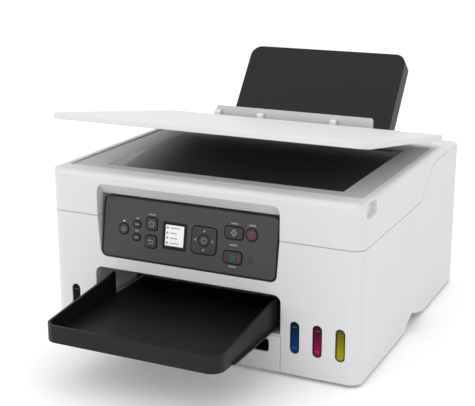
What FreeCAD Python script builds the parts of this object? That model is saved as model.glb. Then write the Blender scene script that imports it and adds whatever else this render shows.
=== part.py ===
import FreeCAD, Part
import os
import re
import Sketcher

# An inkjet printer with a flatbed scanner, refillable ink tanks, a rear paper feed and a pull-out tray.
# Millimetres. X to the right, Y to the rear, Z up. The origin lies on the table under the middle of the case.

# Outer size: the case without tray and support, from the table to the scanner's rim
case_width = 400
case_depth = 407
case_height = 214
case_wall = 2.5
corner_radius = 15
foot_height = 4
# Clearances: between fixed pieces, at the seam and around shafts
part_gap = 0.5
seam_gap = 0.6
shaft_fit = 0.05
# How far a cutting tool runs past a face, and how far joined shapes reach into each other
past = 2
bite = 1
# Scanner shell: its height at the front and at the rear, and the soft step of the seam
scanner_tall = 52.5
scanner_tail = 13.5
tail_flat = 0.01
deck_step = 1
deck_depth = 72.1
deck_lap = 18.4
curve_rear = 50.4
curve_run = 69
rim_round = 5
# Ink windows: counted from the two sides of the case
tank_edge = 10.15
tank_space = 1.8
black_edge = 9
window_width = 11.6
window_low = 30
window_high = 69
# Output slot
slot_clear = 4.75
slot_clear_black = 8
slot_floor = 50.5
slot_corner = 9
cheek_wall = 2.5
cheek_depth = 95
ledge_reach = 233.5
tray_rise = 6.5
tray_tall = 34
tray_room = 6
slot_beam = 15
# Rear feed opening and rear wall opening
rear_shift = 6
feed_room = 5
feed_edge = 12.5
back_edge = 30
back_low = 14
back_top_edge = 15.5
# Hand-holds in the lower side edges
hold_front = -27
hold_long = 79
hold_top = 19.5
hold_edge = 1
hold_step = 8
hold_rise = 28
hold_fall = 32
hold_shoulder = 7
hold_depth = 22
hold_wall = 2
# Scanner hinge: lugs on the case with pins
lug_edge = 16
lug_wide = 9
lug_radius = 5.6
lug_gap = 0.5
hinge_pin = 2
hinge_pin_long = 26
# Base tray, feet and screws
base_thick = 3
base_gap = 0.5
foot_radius = 9
foot_edge = 35
foot_inset = 30
screw_edge = 50
screw_inset = 15.5
screw_radius = 1.5
screw_head = 3
screw_head_tall = 1.4
screw_sink = 0.2
screw_long = 7
screw_end = 1
screw_room = 0.3
boss_radius = 4.5
boss_top = 13.5
boss_roof = 1
# Rear panel, power inlet and data socket
inlet_x = 118
inlet_z = 42
inlet_wide = 24
inlet_tall = 17
usb_x = -118
usb_z = 34
usb_wide = 13
usb_tall = 12
socket_wall = 1.5
socket_depth = 20
socket_floor = 3
contact_radius = 1.2
contact_pitch = 9
contact_short = 6
tongue_wide = 6
tongue_thick = 3
# Maintenance cover and cartridge
finger_edge = 14
finger_wide = 29
finger_low = 26.5
finger_high = 43
finger_corner = 4
cartridge_inset = 39
cartridge_wide = 148
cartridge_front = 13.5
cartridge_deep = 120
cartridge_top = 44
cartridge_corner = 4
# Control panel
panel_tilt = 9
panel_side = 9
panel_side_right = 6
panel_room = 1.5
panel_thick = 4
panel_corner = 8
panel_sit = 0.7
jamb_depth = 16
recess_side = 4
recess_drop = 13
recess_slope = 13.4
recess_run = 12
recess_deep = 23.5
recess_corner = 10
# Keys: places are counted from the panel's left edge and from its middle height
key_gap = 0.35
key_rise = 0.9
flange_wide = 1.2
flange_thick = 1.2
flange_gap = 0.3
power_from = 29
power_up = -1.5
power_radius = 6
keys_from = 46.8
keys_upper = 6.1
keys_lower = -9.5
keys_wide = 9
keys_tall = 6.5
keys_corner = 2.4
home_from = 66.6
home_up = 9
back_up = -12.3
home_side = 14
home_corner = 3
pad_from = 136.2
pad_up = -1.9
pad_side = 31
pad_corner = 5
pad_gap = 0.9
ok_radius = 6.4
start_from = 173.7
black_up = 12
colour_up = -16.5
start_wide = 22.5
start_tall = 13.5
start_corner = 3.5
stop_from = 195.6
stop_up = 12.5
stop_radius = 6.6
screen_from = 81.7
screen_wide = 31.3
screen_low = -17.9
screen_tall = 31.7
screen_corner = 2
screen_deep = 4
screen_proud = 0.3
screen_gap = 0.2
lamp_up = 8.1
lamp_radius = 1.2
lamp_gap = 0.1
alarm_up = -16.7
alarm_radius = 2.6
# Ink tanks and their caps
tank_deep = 89
tank_floor = 18
rest_half = 8
rest_from = 45
rest_deep = 20
tank_top = 104
tank_wide = 25.5
tank_corner = 7
black_wide = 44
nose_gap = 0.4
nose_back = 1.2
neck_radius = 7
neck_high = 5
neck_from_front = 53.5
cap_radius = 8.5
cap_thick = 7
cap_gap = 0.4
cap_reach = 13
cap_pin_radius = 1.8
cap_pin_long = 12
cap_tongue = 3.6
ear_gap = 0.4
ear_thick = 2.8
ear_round = 3
# Print frame, rail and carriage
frame_edge = 14
frame_plate = 1.6
frame_front = -58
frame_rear = 46
frame_high = 148
wall_low = 106
beam_deep = 10
beam_thick = 4
shelf_thick = 2
rail_y = 26
rail_z = 112
rail_radius = 5
carriage_edge = 30
carriage_wide = 78
carriage_front = -44
carriage_low = 96
carriage_top = 138
rail_lug = 8
clamp_inset = 30
clamp_thick = 6
clamp_top = 124
head_inset = 5
head_wide = 32
head_front = -36
head_rear = 12
head_low = 86
# Carriage drive
drive_edge = 26
drive_y = 33
drive_radius = 6
drive_low = 124.6
drive_high = 133
axle_radius = 2
axle_over = 1
motor_radius = 9.5
motor_long = 7.5
motor_gap = 1
idler_half = 4
idler_thick = 3
band_inset = 1.5
belt_thick = 0.8
belt_wide = 5
belt_gap = 0.35
# Feed and eject rollers
shaft_radius = 3
shaft_over = 1
feed_y = 36
feed_z = 78
feed_radius = 6
eject_y = -32
eject_z = 76
eject_radius = 7
roll_half = 111
ring_wide = 8
ring_pitch = 36
pulley_edge = 8
pulley_wide = 6
pulley_radius = 9
feed_motor_radius = 14
feed_motor_long = 28
feed_motor_y = 10
feed_motor_lift = 4.5
# Platen and capping station
platen_front = -22
platen_rear = 26
platen_low = 66
platen_top = 77
rib_high = 5
rib_wide = 2
rib_pitch = 24
station_edge = 32
station_wide = 60
station_gap = 1
station_low = 54
station_top = 80
lip_high = 4.6
lip_inset = 6
# Electronics
board_edge = 22
board_wide = 138
board_deep = 68
board_inset = 23.5
board_low = 14
board_thick = 1.6
board_post = 3
post_inset = 6
chip_side = 18
chip_thick = 3
chip_pitch = 34
supply_edge = 24
supply_wide = 116
supply_deep = 66
supply_top = 56
supply_corner = 3
# Rear feed: the slope that the paper lies on, with the support, the tray, the guides and the pickup roller
slope_lean = 37
slope_inset = 45.5
slope_rise = 3.5
support_half = 120
support_low = 42
support_top = 134
support_deep = 24
support_wall = 5
support_front = 4
support_corner = 16
bed_half = 122
bed_low = 96
bed_top = 6
bed_thick = 3
bed_gap = 0.8
hanger_over = 3
hanger_inset = 12
hanger_deep = 24
hanger_tall = 30
guide_half = 106
guide_thick = 3
guide_deep = 14
guide_low = 60
guide_top = 6
guide_foot = 26
guide_foot_long = 30
guide_foot_thick = 2
guide_gap = 0.4
pickup_down = 87.4
pickup_radius = 13.8
pickup_gap = 0.4
pickup_half = 52
tyre_wide = 14
tyre_gap = 40
arm_thick = 6
arm_half = 6
arm_root = 10
arm_over = 5
# Output tray, drawn out
tray_left_room = 20
tray_right_room = 7
tray_reach = 142.5
tray_floor = 3
tray_wall = 3
tray_corner = 16
tray_nose = 20
tray_box = 150
tray_tongue = 74
rail_out = 3
rail_thick = 2
# Scanner tub, glass and sensor
tub_edge = 7
tub_front = 3.5
tub_rear = 33.4
tub_rise = 9.5
tub_floor = 4
under_inset = 22.5
rim_side = 11
rim_front = 26.5
rim_rear = 37.4
top_sink = 2
top_thick = 5
glass_left_edge = 50
glass_right_edge = 42
glass_front_edge = 50.5
glass_rear_edge = 59.4
glass_thick = 3
glass_lip = 4
glass_gap = 0.3
glass_seat = 0.05
scan_rail_edge = 30
scan_rail_y = -41
scan_rail_wide = 10
scan_rail_high = 11
sensor_edge = 24
sensor_wide = 20
sensor_drop = 27
sensor_tall = 17
sensor_end = 2
saddle_long = 9
saddle_wide = 5.7
saddle_gap = 0.3
scoop_front = 11.5
scoop_long = 31
scoop_low = 19.5
scoop_tall = 16.5
scoop_deep = 6
scoop_corner = 6
# Document lid, its pad and its hinge posts
lid_open = 9.4
lid_lift = 9
lid_thick = 7
lid_corner = 14
lid_crown = 2
lid_tail = 2
lid_gap = 0.6
lid_inset = 27.4
lid_pin = 1.8
lid_pin_long = 36
lid_post_edge = 48
lid_post_wide = 16
lid_post_deep = 9
post_gap = 0.35
post_low = 22
post_head = 3
notch_room = 2
pad_thick = 1.8
pad_fit = 0.05
lid_pad_edge = 40
lid_pad_rear = 16
lid_pad_front = 36
# Feed slot flap and its clips
flap_left_room = 5
flap_right_room = 14
flap_pin_inset = 14.9
flap_pin_rise = 3.5
flap_pin_radius = 2
flap_thick = 2.2
flap_high = 24
flap_corner = 4
flap_notch = 6
flap_gap_side = 5
gap_inset = 18.9
clip_wide = 9
clip_first = 4.5
clip_second = 71
clip_third = 180
clip_toe = 8
clip_heel = 3.3
clip_face = 1.7
clip_shoulder = 3.5
clip_tall = 18.5
clip_slope = 2.5
clip_seat = 0.02

# The sheet holds every size above as a plain number, with its name as the alias
named_sizes = {name: number for name, number in globals().items() if isinstance(number, (int, float))}
doc = FreeCAD.newDocument("printer")
sheet = doc.addObject("Spreadsheet::Sheet", "Sizes")
for row, (alias, number) in enumerate(named_sizes.items(), 1):
    sheet.set("A%d" % row, str(number))
    sheet.setAlias("A%d" % row, alias)
doc.recompute()
lines = {}
pieces = []
Vector = FreeCAD.Vector


# A formula is written with the names alone, and is turned into an expression on the sheet
def expression(formula):
    def full_name(found):
        word = found.group()
        if word in lines:
            return "(" + expression(lines[word]) + ")"
        return "Sizes." + word if word in named_sizes else word
    return re.sub(r"[a-z][a-z_]*", full_name, str(formula))


def value(formula):
    return float(sheet.evalExpression(expression(formula)))


def bind(thing, prop, formula):
    thing.setExpression(prop, expression(formula))


# Primitives
def block(x, y, z):
    box = doc.addObject("Part::Box", "block")
    for side, base, (low, high) in (("Length", "x", x), ("Width", "y", y), ("Height", "z", z)):
        bind(box, side, "(%s) - (%s)" % (high, low))
        bind(box, "Placement.Base." + base, low)
    return box


def rod(along, start, end, first, second, radius):
    turns = {"x": (Vector(0, 1, 0), 90), "y": (Vector(1, 0, 0), -90), "z": (Vector(0, 0, 1), 0)}
    across = {"x": "yz", "y": "xz", "z": "xy"}[along]
    cylinder = doc.addObject("Part::Cylinder", "rod")
    bind(cylinder, "Radius", radius)
    bind(cylinder, "Height", "(%s) - (%s)" % (end, start))
    cylinder.Placement.Rotation = FreeCAD.Rotation(*turns[along])
    bind(cylinder, "Placement.Base." + along, start)
    bind(cylinder, "Placement.Base." + across[0], first)
    bind(cylinder, "Placement.Base." + across[1], second)
    return cylinder


# A prism is a padded sketch: drawn in YZ it runs along X, in XY along Z, and in XZ along Y
# Its long edges at the given corners can be rounded, and so can the rim of its far end
def prism(plane, points, run, corner=None, corners=None, crown=None):
    body = doc.addObject("PartDesign::Body", "prism")
    sketch = body.newObject("Sketcher::SketchObject", "outline")
    support = [part for part in body.Origin.OriginFeatures if part.Role == plane + "_Plane"][0]
    sketch.AttachmentSupport = [(support, "")]
    sketch.MapMode = "FlatFace"
    bind(sketch, "AttachmentOffset.Base.z", "-(%s)" % run[1] if plane == "XZ" else run[0])
    spots = [Vector(value(first), value(second), 0) for first, second in points]
    count = len(points)
    for index in range(count):
        sketch.addGeometry(Part.LineSegment(spots[index], spots[(index + 1) % count]), False)
    for index in range(count):
        sketch.addConstraint(Sketcher.Constraint("Coincident", index, 2, (index + 1) % count, 1))
    for index, pair in enumerate(points):
        for kind, formula, number in zip(("DistanceX", "DistanceY"), pair, (spots[index].x, spots[index].y)):
            row = sketch.addConstraint(Sketcher.Constraint(kind, -1, 1, index, 1, number))
            sketch.setExpression("Constraints[%d]" % row, expression(formula))
    pad = body.newObject("PartDesign::Pad", "pad")
    pad.Profile = sketch
    bind(pad, "Length", "(%s) - (%s)" % (run[1], run[0]))
    doc.recompute([sketch, pad])
    base = pad
    if corner is not None:
        wanted = [spots[index] for index in (range(count) if corners is None else corners)]
        base = rounding(body, base, long_edges(base.Shape, plane, wanted), corner)
    if crown is not None:
        doc.recompute([base])
        top = max(vertex.Z for vertex in base.Shape.Vertexes)
        rim = [number for number, edge in enumerate(base.Shape.Edges, 1)
               if all(abs(vertex.Z - top) < 1e-6 for vertex in edge.Vertexes)]
        base = rounding(body, base, rim, crown)
    body.Tip = base
    return body


def long_edges(shape, plane, wanted):
    numbers = []
    for number, edge in enumerate(shape.Edges, 1):
        ends = [vertex.Point for vertex in edge.Vertexes]
        if plane == "YZ":
            marks = [Vector(end.y, end.z, 0) for end in ends]
        elif plane == "XZ":
            marks = [Vector(end.x, end.z, 0) for end in ends]
        else:
            marks = [Vector(end.x, end.y, 0) for end in ends]
        if all(mark.distanceToPoint(marks[0]) < 1e-6 for mark in marks):
            if any(marks[0].distanceToPoint(spot) < 1e-3 for spot in wanted):
                numbers.append(number)
    return numbers


def rounding(body, base, numbers, radius):
    fillet = body.newObject("PartDesign::Fillet", "rounding")
    fillet.Base = (base, ["Edge%d" % number for number in numbers])
    bind(fillet, "Radius", radius)
    return fillet


def oblong(first, second):
    return [(first[0], second[0]), (first[1], second[0]), (first[1], second[1]), (first[0], second[1])]


def rounded(x, y, z, radius):
    return prism("XY", oblong(x, y), z, radius)


def fuse(*things):
    joined = doc.addObject("Part::MultiFuse", "fuse")
    joined.Shapes = list(things)
    return joined


def cut(base, *tools):
    result = doc.addObject("Part::Cut", "cut")
    result.Base = base
    result.Tool = tools[0] if len(tools) == 1 else fuse(*tools)
    return result


def shared(*things):
    common = doc.addObject("Part::MultiCommon", "common")
    common.Shapes = list(things)
    return common


def group(*things):
    bundle = doc.addObject("Part::Compound", "group")
    bundle.Links = list(things)
    return bundle


# Turning a finished piece: the angle is about X, and the piece is built with its turning line at the origin
def lean(thing, angle, y, z):
    thing.Placement.Rotation = FreeCAD.Rotation(Vector(1, 0, 0), value(angle))
    bind(thing, "Placement.Rotation.Angle", angle)
    bind(thing, "Placement.Base.y", y)
    bind(thing, "Placement.Base.z", z)
    return thing


def piece(label, thing):
    thing.Label = label
    pieces.append(thing)
    return thing


def around(middle, half):
    return ("%s - (%s)" % (middle, half), "%s + (%s)" % (middle, half))


# Lines that several pieces share
lines.update(
    left="-case_width / 2", right="case_width / 2", front="-case_depth / 2", rear="case_depth / 2",
    inner_left="left + case_wall", inner_right="right - case_wall",
    inner_front="front + case_wall", inner_rear="rear - case_wall",
    seam_height="case_height - scanner_tall", curve_top="case_height - scanner_tail",
    rear_top="curve_top + deck_step", scanner_rear="rear - deck_depth", deck_front="scanner_rear - deck_lap",
    curve_end="scanner_rear - curve_rear", curve_start="curve_end - curve_run",
    hinge_y="scanner_rear - scanner_tail / 2", hinge_z="case_height - scanner_tail / 2",
    base_top="foot_height + base_thick", inner_corner="corner_radius - case_wall")
lines.update(
    tank_pitch="tank_wide + tank_space", window_yellow="right - tank_edge - tank_wide / 2",
    window_magenta="window_yellow - tank_pitch", window_cyan="window_magenta - tank_pitch",
    window_black="left + black_edge + black_wide / 2",
    slot_left="window_black + black_wide / 2 + slot_clear_black",
    slot_right="window_cyan - tank_wide / 2 - slot_clear",
    paper_centre="(slot_left + slot_right) / 2", rear_centre="paper_centre + rear_shift",
    tray_low="slot_floor + tray_rise", tray_shoulder="tray_low + tray_tall",
    slot_top="tray_shoulder + tray_room", ledge_low="slot_floor - cheek_wall",
    panel_foot="slot_top + slot_beam", panel_left="slot_left + panel_side",
    panel_right="slot_right - panel_side_right", recess_left="panel_left - recess_side",
    recess_right="panel_right + recess_side", recess_lip="case_height - recess_drop",
    recess_top="recess_lip - recess_slope",
    panel_height="(recess_top - panel_room - panel_foot) / cos(panel_tilt)", panel_middle="panel_height / 2")

# The seam between scanner and case rises to the rear in a soft step, the same line for both pieces
curve_steps = 10


def seam_line(drop):
    points = []
    for step in range(curve_steps + 1):
        share = step / curve_steps
        ease = 3 * share ** 2 - 2 * share ** 3
        y = "curve_start + %.4f * curve_run" % share
        z = "seam_height + %.5f * (curve_top - seam_height) - %s" % (ease, drop)
        points.append((y, z))
    return points


# Main case: one moulded shell with four walls and a rear deck, open below and under the scanner
profile = [("front", "foot_height"), ("rear", "foot_height"), ("rear", "rear_top")]
profile += [("scanner_rear + part_gap", "rear_top"), ("scanner_rear + part_gap", "curve_top - seam_gap")]
profile += list(reversed(seam_line("seam_gap")))
profile += [("front", "seam_height - seam_gap")]
shell = prism("YZ", profile, ("left", "right"))
outline = rounded(("left", "right"), ("front", "rear"), ("0", "case_height"), "corner_radius")
inner_x = ("inner_left", "inner_right")
deck_under = "curve_top - seam_gap - case_wall"
inside = rounded(inner_x, ("inner_front", "inner_rear"), ("0", deck_under), "inner_corner")
well = rounded(inner_x, ("inner_front", "deck_front"), ("0", "case_height"), "inner_corner")
wall_run = ("front - past", "inner_front + past")


# A slot with round ends, cut from front to rear
def round_slot(x, low, high, width, y):
    half = width + " / 2"
    middle = block(around(x, half), y, (low + " + " + half, high + " - " + half))
    lower = rod("y", y[0], y[1], x, low + " + " + half, half)
    upper = rod("y", y[0], y[1], x, high + " - " + half, half)
    return fuse(middle, lower, upper)


ink_names = ("black", "cyan", "magenta", "yellow")
windows = [round_slot("window_" + ink, "window_low", "window_high", "window_width", wall_run)
           for ink in ink_names]
slot_x = ("slot_left", "slot_right")
slot = prism("XZ", oblong(slot_x, ("slot_floor", "slot_top")), wall_run, "slot_corner", [2, 3])
cover_hole = block(("slot_left", "slot_right + part_gap"), wall_run, ("0", "ledge_low"))
lines.update(hold_rear="hold_front + hold_long", hold_lip="foot_height + hold_edge")
hold_points = [("hold_front", "0"), ("hold_front", "hold_lip")]
hold_points += [("hold_front + hold_step", "hold_top - hold_shoulder")]
hold_points += [("hold_front + hold_rise", "hold_top")]
hold_points += [("hold_rear - hold_fall", "hold_top - hold_shoulder")]
hold_points += [("hold_rear", "hold_lip"), ("hold_rear", "0")]
holds = prism("YZ", hold_points, ("left - past", "right + past"))
lines.update(feed_left="rear_centre - bed_half - feed_room", feed_right="rear_centre + bed_half + feed_room")
feed_hole = block(("feed_left", "feed_right"), ("deck_front - past", "rear - feed_edge"),
                  ("rear_top - 2 * case_wall", "case_height"))
back_x = ("left + back_edge", "right - back_edge")
lines.update(back_high="rear_top - back_top_edge")
back_hole = block(back_x, ("inner_rear - past", "rear + past"), ("back_low", "back_high"))

# The panel's opening has a lining of three walls behind the front, which the panel stands in
lines.update(sill="panel_foot - panel_sit")
opening_points = [("panel_left - part_gap", "sill"), ("panel_right + part_gap", "sill")]
opening_points += [("recess_right", "seam_height"), ("recess_right", "case_height")]
opening_points += [("recess_left", "case_height"), ("recess_left", "seam_height")]
opening = prism("XZ", opening_points, ("front - past", "front + jamb_depth + past"),
                "panel_corner + part_gap", [0, 1])
lining_points = [("panel_left - part_gap - case_wall", "sill - case_wall")]
lining_points += [("panel_right + part_gap + case_wall", "sill - case_wall")]
lining_points += [("recess_right + case_wall", "seam_height - seam_gap")]
lining_points += [("recess_left - case_wall", "seam_height - seam_gap")]
lining = prism("XZ", lining_points, ("inner_front", "front + jamb_depth"),
               "panel_corner + part_gap + case_wall", [0, 1])

# Slot walls: two cheeks beside the tray and a ledge under it
cheek_y = ("inner_front", "front + cheek_depth")
cheek_z = ("ledge_low", "slot_top + cheek_wall")
left_cheek = block(("slot_left - cheek_wall", "slot_left"), cheek_y, cheek_z)
right_cheek = block(("slot_right", "slot_right + cheek_wall"), cheek_y, cheek_z)
ledge = block(("slot_left - cheek_wall", "slot_right + cheek_wall"), ("inner_front", "front + ledge_reach"),
              ("ledge_low", "slot_floor"))

# Hinge lugs for the scanner, and bosses for the screws on ribs from the front and rear walls
lugs = []
lug_places = ("left + lug_edge", "right - lug_edge")
for x in lug_places:
    lug_x = around(x, "lug_wide / 2")
    lugs.append(rod("x", lug_x[0], lug_x[1], "hinge_y", "hinge_z", "lug_radius"))
    lugs.append(block(lug_x, around("hinge_y", "lug_radius"), (deck_under, "hinge_z")))
    pin_x = around(x, "hinge_pin_long / 2")
    lugs.append(rod("x", pin_x[0], pin_x[1], "hinge_y", "hinge_z", "hinge_pin"))
screw_places = []
bosses = []
boss_z = ("base_top + screw_room", "boss_top")
for x in ("left + screw_edge", "right - screw_edge"):
    for y, rib in (("front + screw_inset", ("inner_front - bite", "front + screw_inset")),
                   ("rear - screw_inset", ("rear - screw_inset", "inner_rear + bite"))):
        screw_places.append((x, y))
        boss = fuse(rod("z", boss_z[0], boss_z[1], x, y, "boss_radius"),
                    block(around(x, "boss_radius / 2"), rib, boss_z))
        bosses.append(cut(boss, rod("z", "0", "boss_top - boss_roof", x, y, "screw_radius + shaft_fit")))
walls = cut(shared(shell, outline), inside, well, slot, cover_hole, holds, feed_hole, back_hole, *windows)
framed = cut(fuse(walls, lining), opening)
piece("main_case", fuse(framed, left_cheek, right_cheek, ledge, *lugs, *bosses))

# Base tray: the moulded floor inside the case walls, with a closed pocket over each hand-hold
# and a raised rest under each ink tank
floor = rounded(("inner_left + base_gap", "inner_right - base_gap"),
                ("inner_front + base_gap + case_wall", "inner_rear - base_gap"),
                ("foot_height", "base_top"), "inner_corner - base_gap")
hold_y = ("hold_front - past", "hold_rear + past")
pocket_y = ("hold_front - past - hold_wall", "hold_rear + past + hold_wall")
pocket_z = ("foot_height", "hold_top + hold_wall")
pockets = [block(("inner_left + base_gap", "inner_left + hold_depth + hold_wall"), pocket_y, pocket_z),
           block(("inner_right - hold_depth - hold_wall", "inner_right - base_gap"), pocket_y, pocket_z)]
recesses = [block(("left", "inner_left + hold_depth"), hold_y, ("0", "hold_top")),
            block(("inner_right - hold_depth", "right"), hold_y, ("0", "hold_top"))]
rests = [block(around("window_" + ink, "rest_half"), ("front + rest_from", "front + rest_from + rest_deep"),
               ("base_top - bite", "tank_floor")) for ink in ink_names]
head_top = "foot_height + screw_sink + screw_head_tall"
for x, y in screw_places:
    recesses.append(rod("z", "0", head_top + " + shaft_fit", x, y, "screw_head + screw_room"))
    recesses.append(rod("z", "0", "base_top + past", x, y, "screw_radius + shaft_fit"))
piece("base_tray", cut(fuse(floor, *pockets, *rests), *recesses))

# Screws: four, up through the base tray into the bosses, with sunk heads
screws = []
for x, y in screw_places:
    head = rod("z", "foot_height + screw_sink", head_top, x, y, "screw_head")
    shank = rod("z", "foot_height + screw_sink", head_top + " + screw_long - screw_end", x, y, "screw_radius")
    screws.append(fuse(head, shank))
piece("case_screws", group(*screws))

# Rubber feet: four pads under the base tray
feet = [rod("z", "0", "foot_height", x, y, "foot_radius") for x in ("left + foot_edge", "right - foot_edge")
        for y in ("front + foot_inset", "rear - foot_inset")]
piece("rubber_feet", group(*feet))


# Rear panel: a flat plate in the rear wall, with openings for the power inlet and the data socket
def socket_box(name, grow, y):
    x = around(name + "_x", name + "_wide / 2 + " + grow)
    z = around(name + "_z", name + "_tall / 2 + " + grow)
    return block(x, y, z)


plate = block(("left + back_edge + part_gap", "right - back_edge - part_gap"), ("inner_rear", "rear"),
              ("back_low + part_gap", "back_high - part_gap"))
through = ("inner_rear - past", "rear + past")
socket_holes = [socket_box(name, "part_gap", through) for name in ("inlet", "usb")]
piece("rear_panel", cut(plate, *socket_holes))

# Power inlet and data socket: open boxes behind the rear panel
socket_y = ("rear - socket_depth", "rear - part_gap")
hollow_y = ("rear - socket_depth + socket_floor", "rear + past")
contact_y = ("rear - socket_depth + socket_floor / 2", "rear - contact_short")
contacts = [rod("y", contact_y[0], contact_y[1], x, "inlet_z", "contact_radius")
            for x in around("inlet_x", "contact_pitch / 2")]
inlet_shell = cut(socket_box("inlet", "0", socket_y), socket_box("inlet", "-socket_wall", hollow_y))
piece("power_inlet", fuse(inlet_shell, *contacts))
tongue = block(around("usb_x", "tongue_wide / 2"), contact_y, around("usb_z", "tongue_thick / 2"))
usb_shell = cut(socket_box("usb", "0", socket_y), socket_box("usb", "-socket_wall", hollow_y))
piece("usb_socket", fuse(usb_shell, tongue))

# Maintenance cover: the lower front plate with a finger hole, pulled off to the front
cover = block(("slot_left + part_gap", "slot_right"), ("front", "inner_front"),
              ("foot_height", "ledge_low - part_gap"))
finger_x = ("slot_right - finger_edge - finger_wide", "slot_right - finger_edge")
finger = prism("XZ", oblong(finger_x, ("finger_low", "finger_high")), wall_run, "finger_corner")
piece("maintenance_cover", cut(cover, finger))

# Maintenance cartridge: the waste ink box behind the cover
cartridge_x = ("slot_left + cartridge_inset", "slot_left + cartridge_inset + cartridge_wide")
cartridge_y = ("front + cartridge_front", "front + cartridge_front + cartridge_deep")
cartridge_z = ("base_top", "cartridge_top")
piece("maintenance_cartridge", rounded(cartridge_x, cartridge_y, cartridge_z, "cartridge_corner"))


# Control panel: a dark plate leaning back in the front wall, built flat and then leaned
# On the flat plate X is across, Y runs up the slope from the lower edge and Z points out of the face
def panel_lean(thing):
    return lean(thing, "90 - panel_tilt", "front", "panel_foot")


def key_x(from_left):
    return "(panel_left + %s)" % from_left


def key_y(up):
    return "(panel_middle + %s)" % up


def square_key(x, y, wide, tall, corner, grow, z):
    across = around(x, "%s / 2 + %s" % (wide, grow))
    along = around(y, "%s / 2 + %s" % (tall, grow))
    return rounded(across, along, z, corner)


cap_z = ("-panel_thick - flange_gap", "key_rise")
flange_z = ("-panel_thick - flange_gap - flange_thick", "-panel_thick - flange_gap")
hole_z = ("-panel_thick - past", "past")
holes = []


def square_button(label, from_left, up, wide, tall, corner):
    x, y = key_x(from_left), key_y(up)
    holes.append(square_key(x, y, wide, tall, corner, "key_gap", hole_z))
    cap = square_key(x, y, wide, tall, corner, "0", cap_z)
    flange = square_key(x, y, wide, tall, corner, "flange_wide", flange_z)
    piece(label, panel_lean(fuse(cap, flange)))


def round_button(label, from_left, up, radius):
    x, y = key_x(from_left), key_y(up)
    holes.append(rod("z", hole_z[0], hole_z[1], x, y, radius + " + key_gap"))
    cap = rod("z", cap_z[0], cap_z[1], x, y, radius)
    flange = rod("z", flange_z[0], flange_z[1], x, y, radius + " + flange_wide")
    piece(label, panel_lean(fuse(cap, flange)))


# Keys: each slides in its own hole and is held behind the plate by a flange
round_button("power_button", "power_from", "power_up", "power_radius")
square_button("upper_key", "keys_from", "keys_upper", "keys_wide", "keys_tall", "keys_corner")
square_button("lower_key", "keys_from", "keys_lower", "keys_wide", "keys_tall", "keys_corner")
square_button("home_button", "home_from", "home_up", "home_side", "home_side", "home_corner")
square_button("back_button", "home_from", "back_up", "home_side", "home_side", "home_corner")
square_button("black_start_button", "start_from", "black_up", "start_wide", "start_tall", "start_corner")
square_button("colour_start_button", "start_from", "colour_up", "start_wide", "start_tall", "start_corner")
round_button("stop_button", "stop_from", "stop_up", "stop_radius")

# Direction pad: a square ring key with the confirm key in its middle
pad_x, pad_y = key_x("pad_from"), key_y("pad_up")
holes.append(square_key(pad_x, pad_y, "pad_side", "pad_side", "pad_corner", "key_gap", hole_z))
pad_cap = square_key(pad_x, pad_y, "pad_side", "pad_side", "pad_corner", "0", cap_z)
pad_flange = square_key(pad_x, pad_y, "pad_side", "pad_side", "pad_corner", "flange_wide", flange_z)
pad_bore = rod("z", flange_z[0] + " - past", "key_rise + past", pad_x, pad_y, "ok_radius + pad_gap")
piece("direction_pad", panel_lean(cut(fuse(pad_cap, pad_flange), pad_bore)))
ok_cap = rod("z", cap_z[0], "key_rise", pad_x, pad_y, "ok_radius")
ok_stem = rod("z", flange_z[0], cap_z[0], pad_x, pad_y, "ok_radius / 2")
piece("ok_button", panel_lean(fuse(ok_cap, ok_stem)))

# Display: a small colour screen in its own window
screen_x = (key_x("screen_from"), key_x("screen_from + screen_wide"))
screen_y = (key_y("screen_low"), key_y("screen_low + screen_tall"))
screen_room_x = (screen_x[0] + " - screen_gap", screen_x[1] + " + screen_gap")
screen_room_y = (screen_y[0] + " - screen_gap", screen_y[1] + " + screen_gap")
holes.append(rounded(screen_room_x, screen_room_y, hole_z, "screen_corner"))
screen_z = ("-panel_thick - screen_deep", "screen_proud")
piece("display", panel_lean(rounded(screen_x, screen_y, screen_z, "screen_corner")))

# Lamps: the light over the power key and the alarm light
lamps = []
lamp_spots = (("power_from", "lamp_up", "lamp_radius"), ("stop_from", "alarm_up", "alarm_radius"))
for from_left, up, radius in lamp_spots:
    x, y = key_x(from_left), key_y(up)
    holes.append(rod("z", hole_z[0], hole_z[1], x, y, radius + " + lamp_gap"))
    lamps.append(rod("z", "-panel_thick", "screen_proud", x, y, radius))
piece("panel_lamps", panel_lean(group(*lamps)))
plate = rounded(("panel_left", "panel_right"), ("0", "panel_height"), ("-panel_thick", "0"), "panel_corner")
piece("control_panel", panel_lean(cut(plate, *holes)))

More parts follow.
